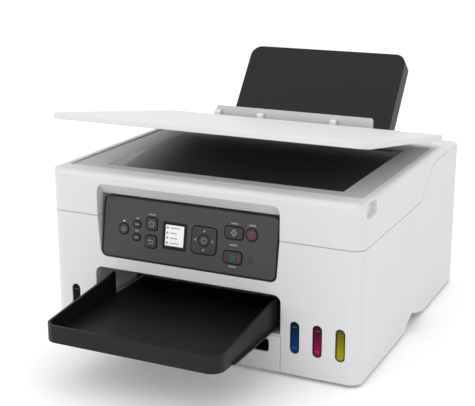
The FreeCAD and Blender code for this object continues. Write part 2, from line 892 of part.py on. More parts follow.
# Ink tanks: four boxes whose front noses show in the windows, each with a filler neck and a hinged cap
lines.update(
    neck_y="front + neck_from_front", cap_low="tank_top + neck_high + cap_gap",
    cap_pin_y="neck_y + cap_reach", cap_pin_z="cap_low + cap_thick / 2",
    nose_width="window_width - 2 * nose_gap")
tank_widths = ("black_wide", "tank_wide", "tank_wide", "tank_wide")
tank_y = ("inner_front + nose_gap", "front + tank_deep")
for ink, wide in zip(ink_names, tank_widths):
    place = "window_" + ink
    box = rounded(around(place, wide + " / 2"), tank_y, ("tank_floor", "tank_top"), "tank_corner")
    nose = round_slot(place, "window_low + nose_gap", "window_high - nose_gap", "nose_width",
                      ("front + nose_back", "inner_front + past"))
    neck = rod("z", "tank_top - past", "tank_top + neck_high", place, "neck_y", "neck_radius")
    ear_inner = "cap_tongue / 2 + ear_gap"
    ear_sides = ((place + " - (" + ear_inner + " + ear_thick)", place + " - (" + ear_inner + ")"),
                 (place + " + " + ear_inner, place + " + " + ear_inner + " + ear_thick"))
    ears = [block(side, around("cap_pin_y", "ear_round"), ("tank_top - past", "cap_pin_z + ear_round"))
            for side in ear_sides]
    pin_x = around(place, "cap_pin_long / 2")
    bore = rod("x", pin_x[0] + " - past", pin_x[1] + " + past", "cap_pin_y", "cap_pin_z",
               "cap_pin_radius + shaft_fit")
    piece("ink_tank_" + ink, cut(fuse(box, nose, neck, *ears), bore))
    stopper = rod("z", "cap_low", "cap_low + cap_thick", place, "neck_y", "cap_radius")
    arm = block(around(place, "cap_tongue / 2"), ("neck_y", "cap_pin_y"),
                ("cap_low", "cap_pin_z + cap_pin_radius"))
    pin = rod("x", pin_x[0], pin_x[1], "cap_pin_y", "cap_pin_z", "cap_pin_radius")
    piece("tank_cap_" + ink, fuse(stopper, arm, pin))

# Print frame: two side plates on the grip pockets, joined by a rear wall, a round rail, the idler's arm
# and two pickup arms, with a beam under the platen, a shelf for the capping station and a motor bracket
lines.update(
    frame_left="left + frame_edge", frame_right="right - frame_edge", pulley_left="frame_left + pulley_edge",
    frame_low="hold_top + hold_wall", feed_motor_z="frame_low + feed_motor_lift + feed_motor_radius",
    station_front="eject_y + shaft_radius + station_gap",
    station_right="right - station_edge", station_left="station_right - station_wide",
    station_middle="(station_left + station_right) / 2",
    drive_right="right - drive_edge", drive_left="left + drive_edge", motor_low="drive_high + motor_gap",
    slope_y="rear - slope_inset", slope_z="rear_top + slope_rise", bed_face="bed_gap + bed_thick",
    pickup_off="bed_face + pickup_gap + pickup_radius",
    pickup_y="slope_y - pickup_down * sin(slope_lean) - pickup_off * cos(slope_lean)",
    pickup_z="slope_z - pickup_down * cos(slope_lean) + pickup_off * sin(slope_lean)")
frame_y = ("frame_front", "frame_rear")
frame_z = ("frame_low", "frame_high")
frame_parts = [block(("frame_left - frame_plate", "frame_left"), frame_y, frame_z),
               block(("frame_right", "frame_right + frame_plate"), frame_y, frame_z),
               block(("frame_left", "frame_right"), ("frame_rear - frame_plate", "frame_rear"),
                     ("wall_low", "frame_high")),
               rod("x", "frame_left", "frame_right", "rail_y", "rail_z", "rail_radius")]
axle_z = ("drive_low - past", "motor_low + axle_over")
frame_parts.append(rod("z", axle_z[0], axle_z[1], "drive_left", "drive_y", "axle_radius"))
idler_x = ("frame_left - axle_over", "drive_left + idler_half")
frame_parts.append(block(idler_x, around("drive_y", "idler_half"), ("motor_low", "motor_low + idler_thick")))
pickup_ends = around("paper_centre", "pickup_half")
arm_points = [("frame_rear - axle_over", "frame_high - arm_root")]
arm_points += [("pickup_y + arm_over", "pickup_z - arm_half")]
arm_points += [("pickup_y + arm_over", "pickup_z + arm_half"), ("frame_rear - axle_over", "frame_high")]
for x in pickup_ends:
    frame_parts.append(prism("YZ", arm_points, around(x, "arm_thick / 2")))
bores = [rod("x", "frame_left - past", "frame_right + past", y, z, "shaft_radius + shaft_fit")
         for y, z in (("feed_y", "feed_z"), ("eject_y", "eject_z"))]
bores.append(rod("x", pickup_ends[0] + " - arm_thick", pickup_ends[1] + " + arm_thick",
                 "pickup_y", "pickup_z", "shaft_radius + shaft_fit"))
beam = block(("frame_left", "frame_right"), ("platen_rear - beam_deep", "platen_rear"),
             ("platen_low - beam_thick", "platen_low"))
station_y = ("station_front", "head_rear")
shelf = block(("station_left", "frame_right"), station_y, ("station_low - shelf_thick", "station_low"))
motor_top = "motor_low + motor_long"
bracket = block(("drive_right - idler_half", "frame_right"), around("drive_y", "idler_half"),
                (motor_top, motor_top + " + idler_thick"))
piece("print_frame", group(cut(fuse(*frame_parts), *bores), beam, shelf, bracket))

# Pickup roller: draws the top sheet off the stack, two rubber tyres on one shaft
tyres = []
for middle in around("paper_centre", "tyre_gap / 2"):
    tyre_x = around(middle, "tyre_wide / 2")
    tyres.append(rod("x", tyre_x[0], tyre_x[1], "pickup_y", "pickup_z", "pickup_radius"))
pickup_shaft = rod("x", pickup_ends[0], pickup_ends[1], "pickup_y", "pickup_z", "shaft_radius")
piece("pickup_roller", fuse(pickup_shaft, *tyres))


# Feed and eject rollers: steel shafts in the side plates, with a pulley each for the drive belt
def roller_shaft(y, z):
    shaft = rod("x", "frame_left - frame_plate - shaft_over", "frame_right + frame_plate + shaft_over",
                y, z, "shaft_radius")
    pulley = rod("x", "pulley_left", "pulley_left + pulley_wide", y, z, "pulley_radius")
    return [shaft, pulley]


roll_x = around("paper_centre", "roll_half")
piece("feed_roller", fuse(*roller_shaft("feed_y", "feed_z"),
                          rod("x", roll_x[0], roll_x[1], "feed_y", "feed_z", "feed_radius")))
ring_count = 6
rings = []
for index in range(ring_count):
    ring_x = around("paper_centre + %.1f * ring_pitch" % (index - (ring_count - 1) / 2), "ring_wide / 2")
    rings.append(rod("x", ring_x[0], ring_x[1], "eject_y", "eject_z", "eject_radius"))
piece("eject_roller", fuse(*roller_shaft("eject_y", "eject_z"), *rings))


# Feed belt: a flat loop around both pulleys
def feed_loop(radius):
    run = around("pulley_left + pulley_wide / 2", "belt_wide / 2")
    span = "sqrt((feed_y - eject_y)^2 + (feed_z - eject_z)^2)"
    bar = block(run, ("0", span), around("0", radius))
    ends = [rod("x", run[0], run[1], y, "0", radius) for y in ("0", span)]
    return fuse(bar, *ends)


feed_belt = cut(feed_loop("pulley_radius + belt_gap + belt_thick"), feed_loop("pulley_radius + belt_gap"))
piece("feed_belt", lean(feed_belt, "atan((feed_z - eject_z) / (feed_y - eject_y))", "eject_y", "eject_z"))

# Platen: the ribbed bed between the two rollers
platen_y = ("platen_front", "platen_rear")
rib_count = 9
ribs = []
for index in range(rib_count):
    rib_x = around("paper_centre + %d * rib_pitch" % (index - rib_count // 2), "rib_wide / 2")
    ribs.append(block(rib_x, platen_y, ("platen_top - bite", "platen_top + rib_high")))
piece("platen", fuse(block(roll_x, platen_y, ("platen_low", "platen_top")), *ribs))

# Carriage: a box on the rail that carries two print heads, parked at the right
lines.update(carriage_right="right - carriage_edge", carriage_left="carriage_right - carriage_wide")
carriage_x = ("carriage_left", "carriage_right")
box = block(carriage_x, ("carriage_front", "rail_y - rail_lug"), ("carriage_low", "carriage_top"))
lug = block(carriage_x, around("rail_y", "rail_lug"), around("rail_z", "rail_lug"))
rail_bore = rod("x", "carriage_left - past", "carriage_right + past",
                "rail_y", "rail_z", "rail_radius + shaft_fit")
clamp_x = ("carriage_left + clamp_inset", "carriage_right - clamp_inset")
clamp = block(clamp_x, around("rail_y", "clamp_thick / 2"), ("rail_z + rail_lug - bite", "clamp_top"))
piece("carriage", cut(fuse(box, lug, clamp), rail_bore))
head_places = ("carriage_left + head_inset", "carriage_right - head_inset - head_wide")
heads = [block((x, x + " + head_wide"), ("head_front", "head_rear"), ("head_low", "carriage_low"))
         for x in head_places]
piece("print_heads", group(*heads))

# Carriage drive: a motor over a driven pulley, an idler and a flat belt behind the carriage
motor = rod("z", "motor_low", motor_top, "drive_right", "drive_y", "motor_radius")
axle = rod("z", axle_z[0], axle_z[1], "drive_right", "drive_y", "axle_radius")
piece("carriage_motor", fuse(motor, axle))
for label, x in (("drive_pulley", "drive_right"), ("idler_pulley", "drive_left")):
    wheel = rod("z", "drive_low", "drive_high", x, "drive_y", "drive_radius")
    bore = rod("z", "drive_low - past", "drive_high + past", x, "drive_y", "axle_radius + shaft_fit")
    piece(label, cut(wheel, bore))


def drive_loop(radius):
    band_z = ("drive_low + band_inset", "drive_high - band_inset")
    straight = block(("drive_left", "drive_right"), around("drive_y", radius), band_z)
    ends = [rod("z", band_z[0], band_z[1], x, "drive_y", radius) for x in ("drive_left", "drive_right")]
    return fuse(straight, *ends)


belt_outside = drive_loop("drive_radius + belt_gap + belt_thick")
piece("timing_belt", cut(belt_outside, drive_loop("drive_radius + belt_gap")))

# Feed motor: a round can on the inner face of the left side plate, below the feed belt
piece("feed_motor", rod("x", "frame_left", "frame_left + feed_motor_long",
                        "feed_motor_y", "feed_motor_z", "feed_motor_radius"))

# Capping station: keeps the print heads moist where the carriage parks, behind the eject roller's shaft
station_parts = [block(("station_left", "station_right"), station_y, ("station_low", "station_top"))]
for x in (("station_left + lip_inset", "station_middle - lip_inset / 2"),
          ("station_middle + lip_inset / 2", "station_right - lip_inset")):
    station_parts.append(block(x, ("station_front + lip_inset", "head_rear - lip_inset"),
                               ("station_top - bite", "station_top + lip_high")))
piece("capping_station", fuse(*station_parts))

# Electronics: the main board on four posts and the power supply, both on the base tray
lines.update(
    board_left="left + board_edge", board_rear="rear - board_inset", board_top="board_low + board_thick",
    board_right="board_left + board_wide", board_front="board_rear - board_deep")
board = block(("board_left", "board_right"), ("board_front", "board_rear"), ("board_low", "board_top"))
posts = [rod("z", "base_top", "board_low", x, y, "board_post")
         for x in ("board_left + post_inset", "board_right - post_inset")
         for y in ("board_front + post_inset", "board_rear - post_inset")]
chips = []
chip_count = 3
for index in range(chip_count):
    start = "board_left + %d * chip_pitch - chip_side / 2" % (index + 1)
    chips.append(block((start, start + " + chip_side"),
                       around("(board_front + board_rear) / 2", "chip_side / 2"),
                       ("board_top", "board_top + chip_thick")))
piece("main_board", fuse(board, *posts, *chips))
supply_x = ("right - supply_edge - supply_wide", "right - supply_edge")
supply_y = ("board_rear - supply_deep", "board_rear")
piece("power_supply", rounded(supply_x, supply_y, ("base_top", "supply_top"), "supply_corner"))


# Rear feed: everything on the paper's slope is built upright and then leaned back
# On the upright pieces Z runs up the slope, and Y = 0 is the face that the paper lies on
def slope_lean_back(thing):
    return lean(thing, "-slope_lean", "slope_y", "slope_z")


# Paper support: a black board with deep side walls, pulled up out of the rear deck
support_x = around("rear_centre", "support_half")
support_z = ("-support_deep", "0")
upright = rounded(support_x, ("-support_low", "support_top"), support_z, "support_corner")
lower = block(support_x, ("-support_low", "0"), support_z)
hollow = rounded(around("rear_centre", "support_half - support_wall"),
                 ("-support_low - 2 * support_corner", "support_top - support_wall"),
                 ("-support_deep - past", "-support_front"), "support_corner - support_wall")
piece("paper_support", lean(cut(fuse(upright, lower), hollow), "90 - slope_lean", "slope_y", "slope_z"))

# Rear tray: the fixed sloping bed in front of the support, held at both sides by a hanger under the deck
bed = block(around("rear_centre", "bed_half"), ("-bed_face", "-bed_gap"), ("-bed_low", "-bed_top"))
hanger_y = ("deck_front + hanger_inset", "deck_front + hanger_inset + hanger_deep")
hanger_z = (deck_under + " - hanger_tall", deck_under)
hangers = [block(("feed_left - hanger_over", "rear_centre - bed_half"), hanger_y, hanger_z),
           block(("rear_centre + bed_half", "feed_right + hanger_over"), hanger_y, hanger_z)]
piece("rear_tray", group(slope_lean_back(group(bed)), *hangers))

# Paper guides: two upright fins on the rear tray that move together, one to each side
lines.update(guide_face="-bed_face - guide_gap")
fin_y = ("guide_face - guide_deep", "guide_face")
foot_y = ("guide_face - guide_foot_thick", "guide_face")
foot_z = ("-guide_low", "-guide_low + guide_foot_long")
guide_left, guide_right = around("paper_centre", "guide_half")
left_fin = block((guide_left + " - guide_thick", guide_left), fin_y, ("-guide_low", "guide_top"))
left_foot = block((guide_left, guide_left + " + guide_foot"), foot_y, foot_z)
piece("paper_guide_left", slope_lean_back(fuse(left_fin, left_foot)))
right_fin = block((guide_right, guide_right + " + guide_thick"), fin_y, ("-guide_low", "guide_top"))
right_foot = block((guide_right + " - guide_foot", guide_right), foot_y, foot_z)
piece("paper_guide_right", slope_lean_back(fuse(right_fin, right_foot)))

# Output tray: a black box with a low front, sloping side walls and slide rails, drawn out of the slot
lines.update(
    tray_left="slot_left + tray_left_room", tray_right="slot_right - tray_right_room",
    tray_front="front - tray_reach", box_end="tray_front + tray_box", tray_rear="box_end + tray_tongue")
tray_x = ("tray_left", "tray_right")
tray_body = rounded(tray_x, ("tray_front", "box_end + tray_corner"), ("tray_low", "tray_shoulder"),
                    "tray_corner")
tray_hollow = rounded(("tray_left + tray_wall", "tray_right - tray_wall"),
                      ("tray_front + tray_wall", "box_end + 3 * tray_corner"),
                      ("tray_low + tray_floor", "tray_shoulder + past"), "tray_corner - tray_wall")
tray_end = block(("tray_left - past", "tray_right + past"), ("box_end", "box_end + 3 * tray_corner"),
                 ("tray_low - past", "tray_shoulder + past"))
slope_points = [("tray_front - past", "tray_low + tray_nose")]
slope_points += [("tray_front + tray_corner", "tray_low + tray_nose")]
slope_points += [("box_end + past", "tray_shoulder"), ("box_end + past", "tray_shoulder + 2 * past")]
slope_points += [("tray_front - past", "tray_shoulder + 2 * past")]
slope_cut = prism("YZ", slope_points, ("tray_left - past", "tray_right + past"))
tongue = block(tray_x, ("box_end", "tray_rear"), ("tray_low", "tray_low + tray_floor"))
slide_y = ("tray_front + 2 * tray_corner", "tray_rear")
slide_z = ("tray_low", "tray_low + rail_thick")
rails = [block(("tray_left - rail_out", "tray_left"), slide_y, slide_z),
         block(("tray_right", "tray_right + rail_out"), slide_y, slide_z)]
piece("output_tray", fuse(cut(tray_body, tray_hollow, tray_end, slope_cut), tongue, *rails))

# Scanner case: the upper shell, hinged to the main case at the rear on two pins
lines.update(
    tub_low="seam_height + tub_rise", well_low="tub_low + tub_floor", well_front="front + rim_front",
    well_rear="scanner_rear - rim_rear", top_high="case_height - top_sink", top_low="top_high - top_thick",
    lid_hinge_y="scanner_rear - lid_inset", flap_pin_y="scanner_rear - flap_pin_inset",
    flap_pin_z="case_height + flap_pin_rise", flap_left="feed_left + flap_left_room",
    flap_right="feed_right - flap_right_room")
profile = [("front", "seam_height")] + seam_line("0")
profile += [("scanner_rear", "curve_top"), ("scanner_rear", "case_height"), ("front", "case_height")]
soft_corners = [len(profile) - 3, len(profile) - 2, len(profile) - 1]
scanner_side = prism("YZ", profile, ("left", "right"), "scanner_tail / 2 - tail_flat", soft_corners)
scanner_face = prism("XZ", oblong(("left", "right"), ("0", "case_height")), ("front", "rear"),
                     "rim_round", [2, 3])
tub_x = ("left + tub_edge", "right - tub_edge")
tub = block(tub_x, ("front + tub_front", "scanner_rear - tub_rear"), ("tub_low", "case_height - rim_round"))
under = block(tub_x, ("front + under_inset", "curve_start"), ("seam_height - past", "tub_low"))
well_x = ("left + rim_side", "right - rim_side")
well_tool = block(well_x, ("well_front", "well_rear"), ("well_low", "case_height + past"))
recess_points = [("front - past", "seam_height - past"), ("front + recess_deep", "seam_height - past")]
recess_points += [("front + recess_deep", "recess_top"), ("front + recess_run", "recess_top")]
recess_points += [("front", "recess_lip"), ("front - past", "recess_lip")]
recess_x = ("recess_left", "recess_right")
recess_face = prism("XZ", oblong(recess_x, ("0", "recess_lip")),
                    ("front - 2 * past", "front + recess_deep + past"), "recess_corner", [2, 3])
recess = shared(prism("YZ", recess_points, recess_x), recess_face)
scoop_y = ("front + scoop_front", "front + scoop_front + scoop_long")
scoop_z = ("case_height - scoop_low", "case_height - scoop_low + scoop_tall")
scoops = [prism("YZ", oblong(scoop_y, scoop_z), x, "scoop_corner")
          for x in (("left - past", "left + scoop_deep"), ("right - scoop_deep", "right + past"))]
open_z = ("curve_top - past", "case_height + past")
rear_gap = block(("flap_left - flap_gap_side", "flap_right + flap_gap_side"),
                 ("scanner_rear - gap_inset", "scanner_rear + past"), open_z)
post_places = ("left + lid_post_edge", "right - lid_post_edge")
post_y = around("lid_hinge_y", "lid_post_deep / 2 + post_gap")
post_holes = [block(around(x, "lid_post_wide / 2 + post_gap"), post_y,
                    ("tub_low - past", "case_height + past"))
              for x in post_places]
hinge_gaps = []
for x in lug_places:
    hinge_gaps.append(block(around(x, "lug_wide / 2 + lug_gap"),
                            ("hinge_y - lug_radius - past", "scanner_rear + past"), open_z))
    pin_x = around(x, "hinge_pin_long / 2 + lug_gap")
    hinge_gaps.append(rod("x", pin_x[0], pin_x[1], "hinge_y", "hinge_z", "hinge_pin + shaft_fit"))
scan_rail = block(("left + scan_rail_edge", "right - scan_rail_edge"),
                  around("scan_rail_y", "scan_rail_wide / 2"),
                  ("well_low - bite", "well_low + scan_rail_high"))
shell = fuse(shared(scanner_side, scanner_face, outline), tub)
opened = cut(shell, under, well_tool, recess, rear_gap, *scoops, *post_holes, *hinge_gaps)
piece("scanner_case", fuse(opened, scan_rail))

# Flap clips: three hooks on the scanner's rear rim that hold the flap's pin
lines.update(
    clip_bottom="case_height + clip_seat", clip_front="flap_pin_y - clip_toe",
    clip_rear="flap_pin_y + clip_heel", clip_back="flap_pin_y - clip_face",
    clip_step="flap_pin_z + clip_shoulder", clip_top="flap_pin_z + clip_tall")
clip_points = [("clip_front", "clip_bottom"), ("clip_rear", "clip_bottom"), ("clip_rear", "clip_step")]
clip_points += [("clip_back", "clip_step"), ("clip_back", "clip_top")]
clip_points += [("clip_front + clip_slope", "clip_top"), ("clip_front", "clip_top - clip_slope")]
clips = []
clip_places = ["flap_left + " + start for start in ("clip_first", "clip_second", "clip_third")]
for x in clip_places:
    clip_x = around(x, "clip_wide / 2")
    bore = rod("x", clip_x[0] + " - past", clip_x[1] + " + past", "flap_pin_y", "flap_pin_z",
               "flap_pin_radius + shaft_fit")
    clips.append(cut(prism("YZ", clip_points, clip_x), bore))
piece("flap_clips", group(*clips))

# Feed slot flap: a grey strip that stands behind the lid and folds back over the feed slot
flap_x = ("flap_left", "flap_right")
flap_plate = prism("XZ", oblong(flap_x, ("flap_pin_z", "flap_pin_z + flap_high")),
                   around("flap_pin_y", "flap_thick / 2"), "flap_corner", [2, 3])
flap_barrel = rod("x", "flap_left", "flap_right", "flap_pin_y", "flap_pin_z", "flap_pin_radius")
notches = [block(around(x, "clip_wide / 2 + part_gap"), around("flap_pin_y", "flap_notch"),
                 around("flap_pin_z", "flap_notch")) for x in clip_places]
piece("feed_slot_flap", fuse(cut(flap_plate, *notches), flap_barrel))

# Scanner top: the frame around the glass, sunk a little below the rim
lines.update(
    glass_left="left + glass_left_edge", glass_right="right - glass_right_edge",
    glass_front="front + glass_front_edge", glass_rear="scanner_rear - glass_rear_edge")
top_plate = block((well_x[0] + " + part_gap", well_x[1] + " - part_gap"),
                  ("well_front + part_gap", "well_rear - part_gap"), ("top_low", "top_high"))
top_hole = block(("glass_left + glass_lip", "glass_right - glass_lip"),
                 ("glass_front + glass_lip", "glass_rear - glass_lip"), ("top_low - past", "top_high + past"))
seat = block(("glass_left", "glass_right"), ("glass_front", "glass_rear"),
             ("top_high - glass_thick", "top_high + past"))
piece("scanner_top", cut(top_plate, top_hole, seat))
piece("scan_glass", block(("glass_left + glass_gap", "glass_right - glass_gap"),
                          ("glass_front + glass_gap", "glass_rear - glass_gap"),
                          ("top_high - glass_thick + glass_seat", "top_high")))

# Scan sensor: a bar under the glass that runs along the rail from left to right, on two saddles
lines.update(sensor_low="case_height - sensor_drop")
sensor_x = ("left + sensor_edge", "left + sensor_edge + sensor_wide")
bar = block(sensor_x, ("glass_front + sensor_end", "glass_rear - sensor_end"),
            ("sensor_low", "sensor_low + sensor_tall"))
saddle_front, saddle_rear = around("scan_rail_y", "scan_rail_wide / 2 + saddle_gap")
saddle_z = ("sensor_low - saddle_long", "sensor_low")
saddles = [block(sensor_x, (saddle_front + " - saddle_wide", saddle_front), saddle_z),
           block(sensor_x, (saddle_rear, saddle_rear + " + saddle_wide"), saddle_z)]
piece("scan_sensor", fuse(bar, *saddles))

# Document lid: a flat cover, built flat with its hinge line at the origin and then raised at the front
lines.update(lid_z="case_height + lid_gap + lid_thick / 2 + lid_lift", lid_reach="lid_hinge_y - front")
lid_plate = prism("XY", oblong(("left", "right"), ("-lid_reach", "lid_tail")),
                  ("-lid_thick / 2", "lid_thick / 2"), "lid_corner", [0, 1], "lid_crown")
notches = []
bores = []
for x in post_places:
    notches.append(block(around(x, "lid_post_wide / 2 + post_gap"),
                         ("-lid_post_deep / 2 - notch_room", "lid_tail + past"), ("-lid_thick", "lid_thick")))
    pin_x = around(x, "lid_pin_long / 2 + past")
    bores.append(rod("x", pin_x[0], pin_x[1], "0", "0", "lid_pin + shaft_fit"))
piece("document_lid", lean(cut(lid_plate, *notches, *bores), "-lid_open", "lid_hinge_y", "lid_z"))

# Lid pad: a thin white foam sheet under the lid, over the glass
lid_pad = block(("left + lid_pad_edge", "right - lid_pad_edge"),
                ("-lid_reach + lid_pad_front", "-lid_pad_rear"),
                ("-lid_thick / 2 - pad_fit - pad_thick", "-lid_thick / 2 - pad_fit"))
piece("lid_pad", lean(group(lid_pad), "-lid_open", "lid_hinge_y", "lid_z"))

# Lid hinges: two posts that rise in the scanner case for thick books, with the lid's pins across their heads
posts = []
for x in post_places:
    post_x = around(x, "lid_post_wide / 2")
    post = block(post_x, around("lid_hinge_y", "lid_post_deep / 2"),
                 ("case_height - post_low", "lid_z - lid_thick"))
    head = block(post_x, around("lid_hinge_y", "post_head"), ("lid_z - lid_thick", "lid_z"))
    crown = rod("x", post_x[0], post_x[1], "lid_hinge_y", "lid_z", "post_head")
    pin_x = around(x, "lid_pin_long / 2")
    posts.append(fuse(post, head, crown, rod("x", pin_x[0], pin_x[1], "lid_hinge_y", "lid_z", "lid_pin")))
piece("lid_hinges", group(*posts))

# Checking and writing the pieces
doc.recompute()
problems = []
for item in doc.Objects:
    if "Invalid" in item.State or "Error" in item.State:
        problems.append(item.Name)
for item in pieces:
    if item.Shape.isNull() or not item.Shape.isValid():
        problems.append(item.Label)
if problems:
    raise RuntimeError("faulty pieces: " + ", ".join(problems))
os.makedirs("parts", exist_ok=True)
for item in pieces:
    item.Shape.exportStep("parts/" + item.Label + ".step")
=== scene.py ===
import math

import bpy
import numpy as np
from mathutils import Euler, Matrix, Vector


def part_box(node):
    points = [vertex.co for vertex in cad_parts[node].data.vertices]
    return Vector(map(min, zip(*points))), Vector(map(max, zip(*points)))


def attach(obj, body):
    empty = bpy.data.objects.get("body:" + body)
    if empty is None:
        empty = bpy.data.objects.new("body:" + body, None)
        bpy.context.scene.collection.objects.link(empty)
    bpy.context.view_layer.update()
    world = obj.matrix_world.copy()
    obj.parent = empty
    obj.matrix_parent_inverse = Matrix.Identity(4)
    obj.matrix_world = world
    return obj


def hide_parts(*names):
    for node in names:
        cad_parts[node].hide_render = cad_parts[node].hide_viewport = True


# An inkjet printer with a scanner lid, ink windows, a key panel, an output tray and a rear paper support.
# Metres, in the frame of the solids: X to the right, Y to the rear, Z up.
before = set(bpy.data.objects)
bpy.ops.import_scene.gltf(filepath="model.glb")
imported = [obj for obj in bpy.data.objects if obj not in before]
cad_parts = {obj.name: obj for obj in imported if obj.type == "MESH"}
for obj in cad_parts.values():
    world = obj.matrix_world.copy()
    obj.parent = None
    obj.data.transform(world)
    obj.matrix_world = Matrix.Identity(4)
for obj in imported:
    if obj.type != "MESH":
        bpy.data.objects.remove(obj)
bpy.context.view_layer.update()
mm = 0.001

# Camera: the photograph's viewpoint, found from the case's edges, with the lens for a 36 mm sensor.
# It looks from the front right, a little from above.
lens_long = 81.75
sensor_wide = 36
camera_place = (0.54815, -1.25204, 0.52715)
camera_down = 15.785
camera_turn = 25.347
camera_data = bpy.data.cameras.new("photo_camera")
camera_data.lens = lens_long
camera_data.sensor_width = sensor_wide
camera = bpy.data.objects.new("photo_camera", camera_data)
camera.location = camera_place
camera.rotation_euler = (math.radians(90 - camera_down), 0, math.radians(camera_turn))
scene = bpy.context.scene
scene.collection.objects.link(camera)
scene.camera = camera

# Studio: an even white room, a soft light from the front left and a weak one from above.
# What looks at the room, or mirrors it, sees plain white; the light on the printer is a little less.
scene.view_settings.view_transform = "Standard"
room_light = 0.86


def looked_at(tree):
    """1 for rays that look at a thing, straight, mirrored or through glass, and 0 for rays that light it."""
    path = tree.nodes.new("ShaderNodeLightPath")
    mirrored = tree.nodes.new("ShaderNodeMath")
    mirrored.operation = "MAXIMUM"
    seen = tree.nodes.new("ShaderNodeMath")
    seen.operation = "MAXIMUM"
    tree.links.new(path.outputs["Is Glossy Ray"], mirrored.inputs[0])
    tree.links.new(path.outputs["Is Transmission Ray"], mirrored.inputs[1])
    tree.links.new(path.outputs["Is Camera Ray"], seen.inputs[0])
    tree.links.new(mirrored.outputs["Value"], seen.inputs[1])
    return seen.outputs["Value"]


world = bpy.data.worlds.new("studio")
world.use_nodes = True
scene.world = world
nodes, links = world.node_tree.nodes, world.node_tree.links
backdrop = nodes["Background"]
backdrop.inputs["Color"].default_value = (1, 1, 1, 1)
strength = nodes.new("ShaderNodeMapRange")
strength.inputs["To Min"].default_value = room_light
links.new(looked_at(world.node_tree), strength.inputs["Value"])
links.new(strength.outputs["Result"], backdrop.inputs["Strength"])
for name, place, turn, size, power in (
        ("key_light", (-1.1, -1.9, 1.9), (52, 0, -30), 1.6, 10),
        ("top_light", (0.2, 0.2, 2.2), (0, 0, 0), 1.8, 5)):
    lamp = bpy.data.lights.new(name, "AREA")
    lamp.size = size
    lamp.energy = power
    light = bpy.data.objects.new(name, lamp)
    light.location = place
    light.rotation_euler = [math.radians(angle) for angle in turn]
    scene.collection.objects.link(light)

# Floor: a white sweep under the printer, wide enough to fill the view.
# It is a single sheet with a faint tone, matt, so that it keeps the printer's shadow.
floor_half = 6
floor_glow = 0.16
floor_corners = [(-floor_half, -floor_half, 0), (floor_half, -floor_half, 0),
                 (floor_half, floor_half, 0), (-floor_half, floor_half, 0)]
floor_mesh = bpy.data.meshes.new("floor")
floor_mesh.from_pydata(floor_corners, [], [(0, 1, 2, 3)])
floor = bpy.data.objects.new("floor", floor_mesh)
scene.collection.objects.link(floor)
floor_paint = bpy.data.materials.new("floor_paint")
floor_paint.use_nodes = True
nodes, links = floor_paint.node_tree.nodes, floor_paint.node_tree.links
tone = nodes.new("ShaderNodeTexNoise")
tone.inputs["Scale"].default_value = 0.6
ramp = nodes.new("ShaderNodeValToRGB")
ramp.color_ramp.elements[0].color = (0.97, 0.97, 0.97, 1)
ramp.color_ramp.elements[1].color = (0.99, 0.99, 0.99, 1)
links.new(tone.outputs["Fac"], ramp.inputs["Fac"])
floor_shader = nodes["Principled BSDF"]
links.new(ramp.outputs["Color"], floor_shader.inputs["Base Color"])
floor_shader.inputs["Roughness"].default_value = 0.9
floor_shader.inputs["Emission Color"].default_value = (1, 1, 1, 1)
glow = nodes.new("ShaderNodeMath")
glow.operation = "MULTIPLY"
glow.inputs[1].default_value = floor_glow
links.new(looked_at(floor_paint.node_tree), glow.inputs[0])
links.new(glow.outputs["Value"], floor_shader.inputs["Emission Strength"])
floor_mesh.materials.append(floor_paint)

# Base tray and feet: a black moulded tray closes the printer from below, on four rubber feet.
# The mouldings share one surface, a fine spark-eroded grain with slightly uneven gloss and softened edges.
grain = bpy.data.node_groups.new("moulded_grain", "ShaderNodeTree")
grain.interface.new_socket("Color", in_out="INPUT", socket_type="NodeSocketColor")
grain.interface.new_socket("Gloss", in_out="INPUT", socket_type="NodeSocketFloat")
grain.interface.new_socket("Color", in_out="OUTPUT", socket_type="NodeSocketColor")
grain.interface.new_socket("Roughness", in_out="OUTPUT", socket_type="NodeSocketFloat")
grain.interface.new_socket("Normal", in_out="OUTPUT", socket_type="NodeSocketVector")
inside = grain.nodes.new("NodeGroupInput")
outside = grain.nodes.new("NodeGroupOutput")
place = grain.nodes.new("ShaderNodeTexCoord")
speck = grain.nodes.new("ShaderNodeTexNoise")
speck.inputs["Scale"].default_value = 1400
speck.inputs["Detail"].default_value = 2
cloud = grain.nodes.new("ShaderNodeTexNoise")
cloud.inputs["Scale"].default_value = 9
cloud.inputs["Detail"].default_value = 3
shade = grain.nodes.new("ShaderNodeHueSaturation")
lift = grain.nodes.new("ShaderNodeMapRange")
lift.inputs["To Min"].default_value = 0.97
lift.inputs["To Max"].default_value = 1.03
rough = grain.nodes.new("ShaderNodeMath")
rough.operation = "MULTIPLY_ADD"
rough.inputs[1].default_value = 0.12
edge = grain.nodes.new("ShaderNodeBevel")
edge.inputs["Radius"].default_value = 1.4 * mm
bump = grain.nodes.new("ShaderNodeBump")
bump.inputs["Strength"].default_value = 0.06
bump.inputs["Distance"].default_value = 0.2 * mm
for texture in (speck, cloud):
    grain.links.new(place.outputs["Object"], texture.inputs["Vector"])
grain.links.new(cloud.outputs["Fac"], lift.inputs["Value"])
grain.links.new(inside.outputs["Color"], shade.inputs["Color"])
grain.links.new(lift.outputs["Result"], shade.inputs["Value"])
grain.links.new(shade.outputs["Color"], outside.inputs["Color"])
grain.links.new(speck.outputs["Fac"], rough.inputs[0])
grain.links.new(inside.outputs["Gloss"], rough.inputs[2])
grain.links.new(rough.outputs["Value"], outside.inputs["Roughness"])
grain.links.new(speck.outputs["Fac"], bump.inputs["Height"])
grain.links.new(edge.outputs["Normal"], bump.inputs["Normal"])
grain.links.new(bump.outputs["Normal"], outside.inputs["Normal"])


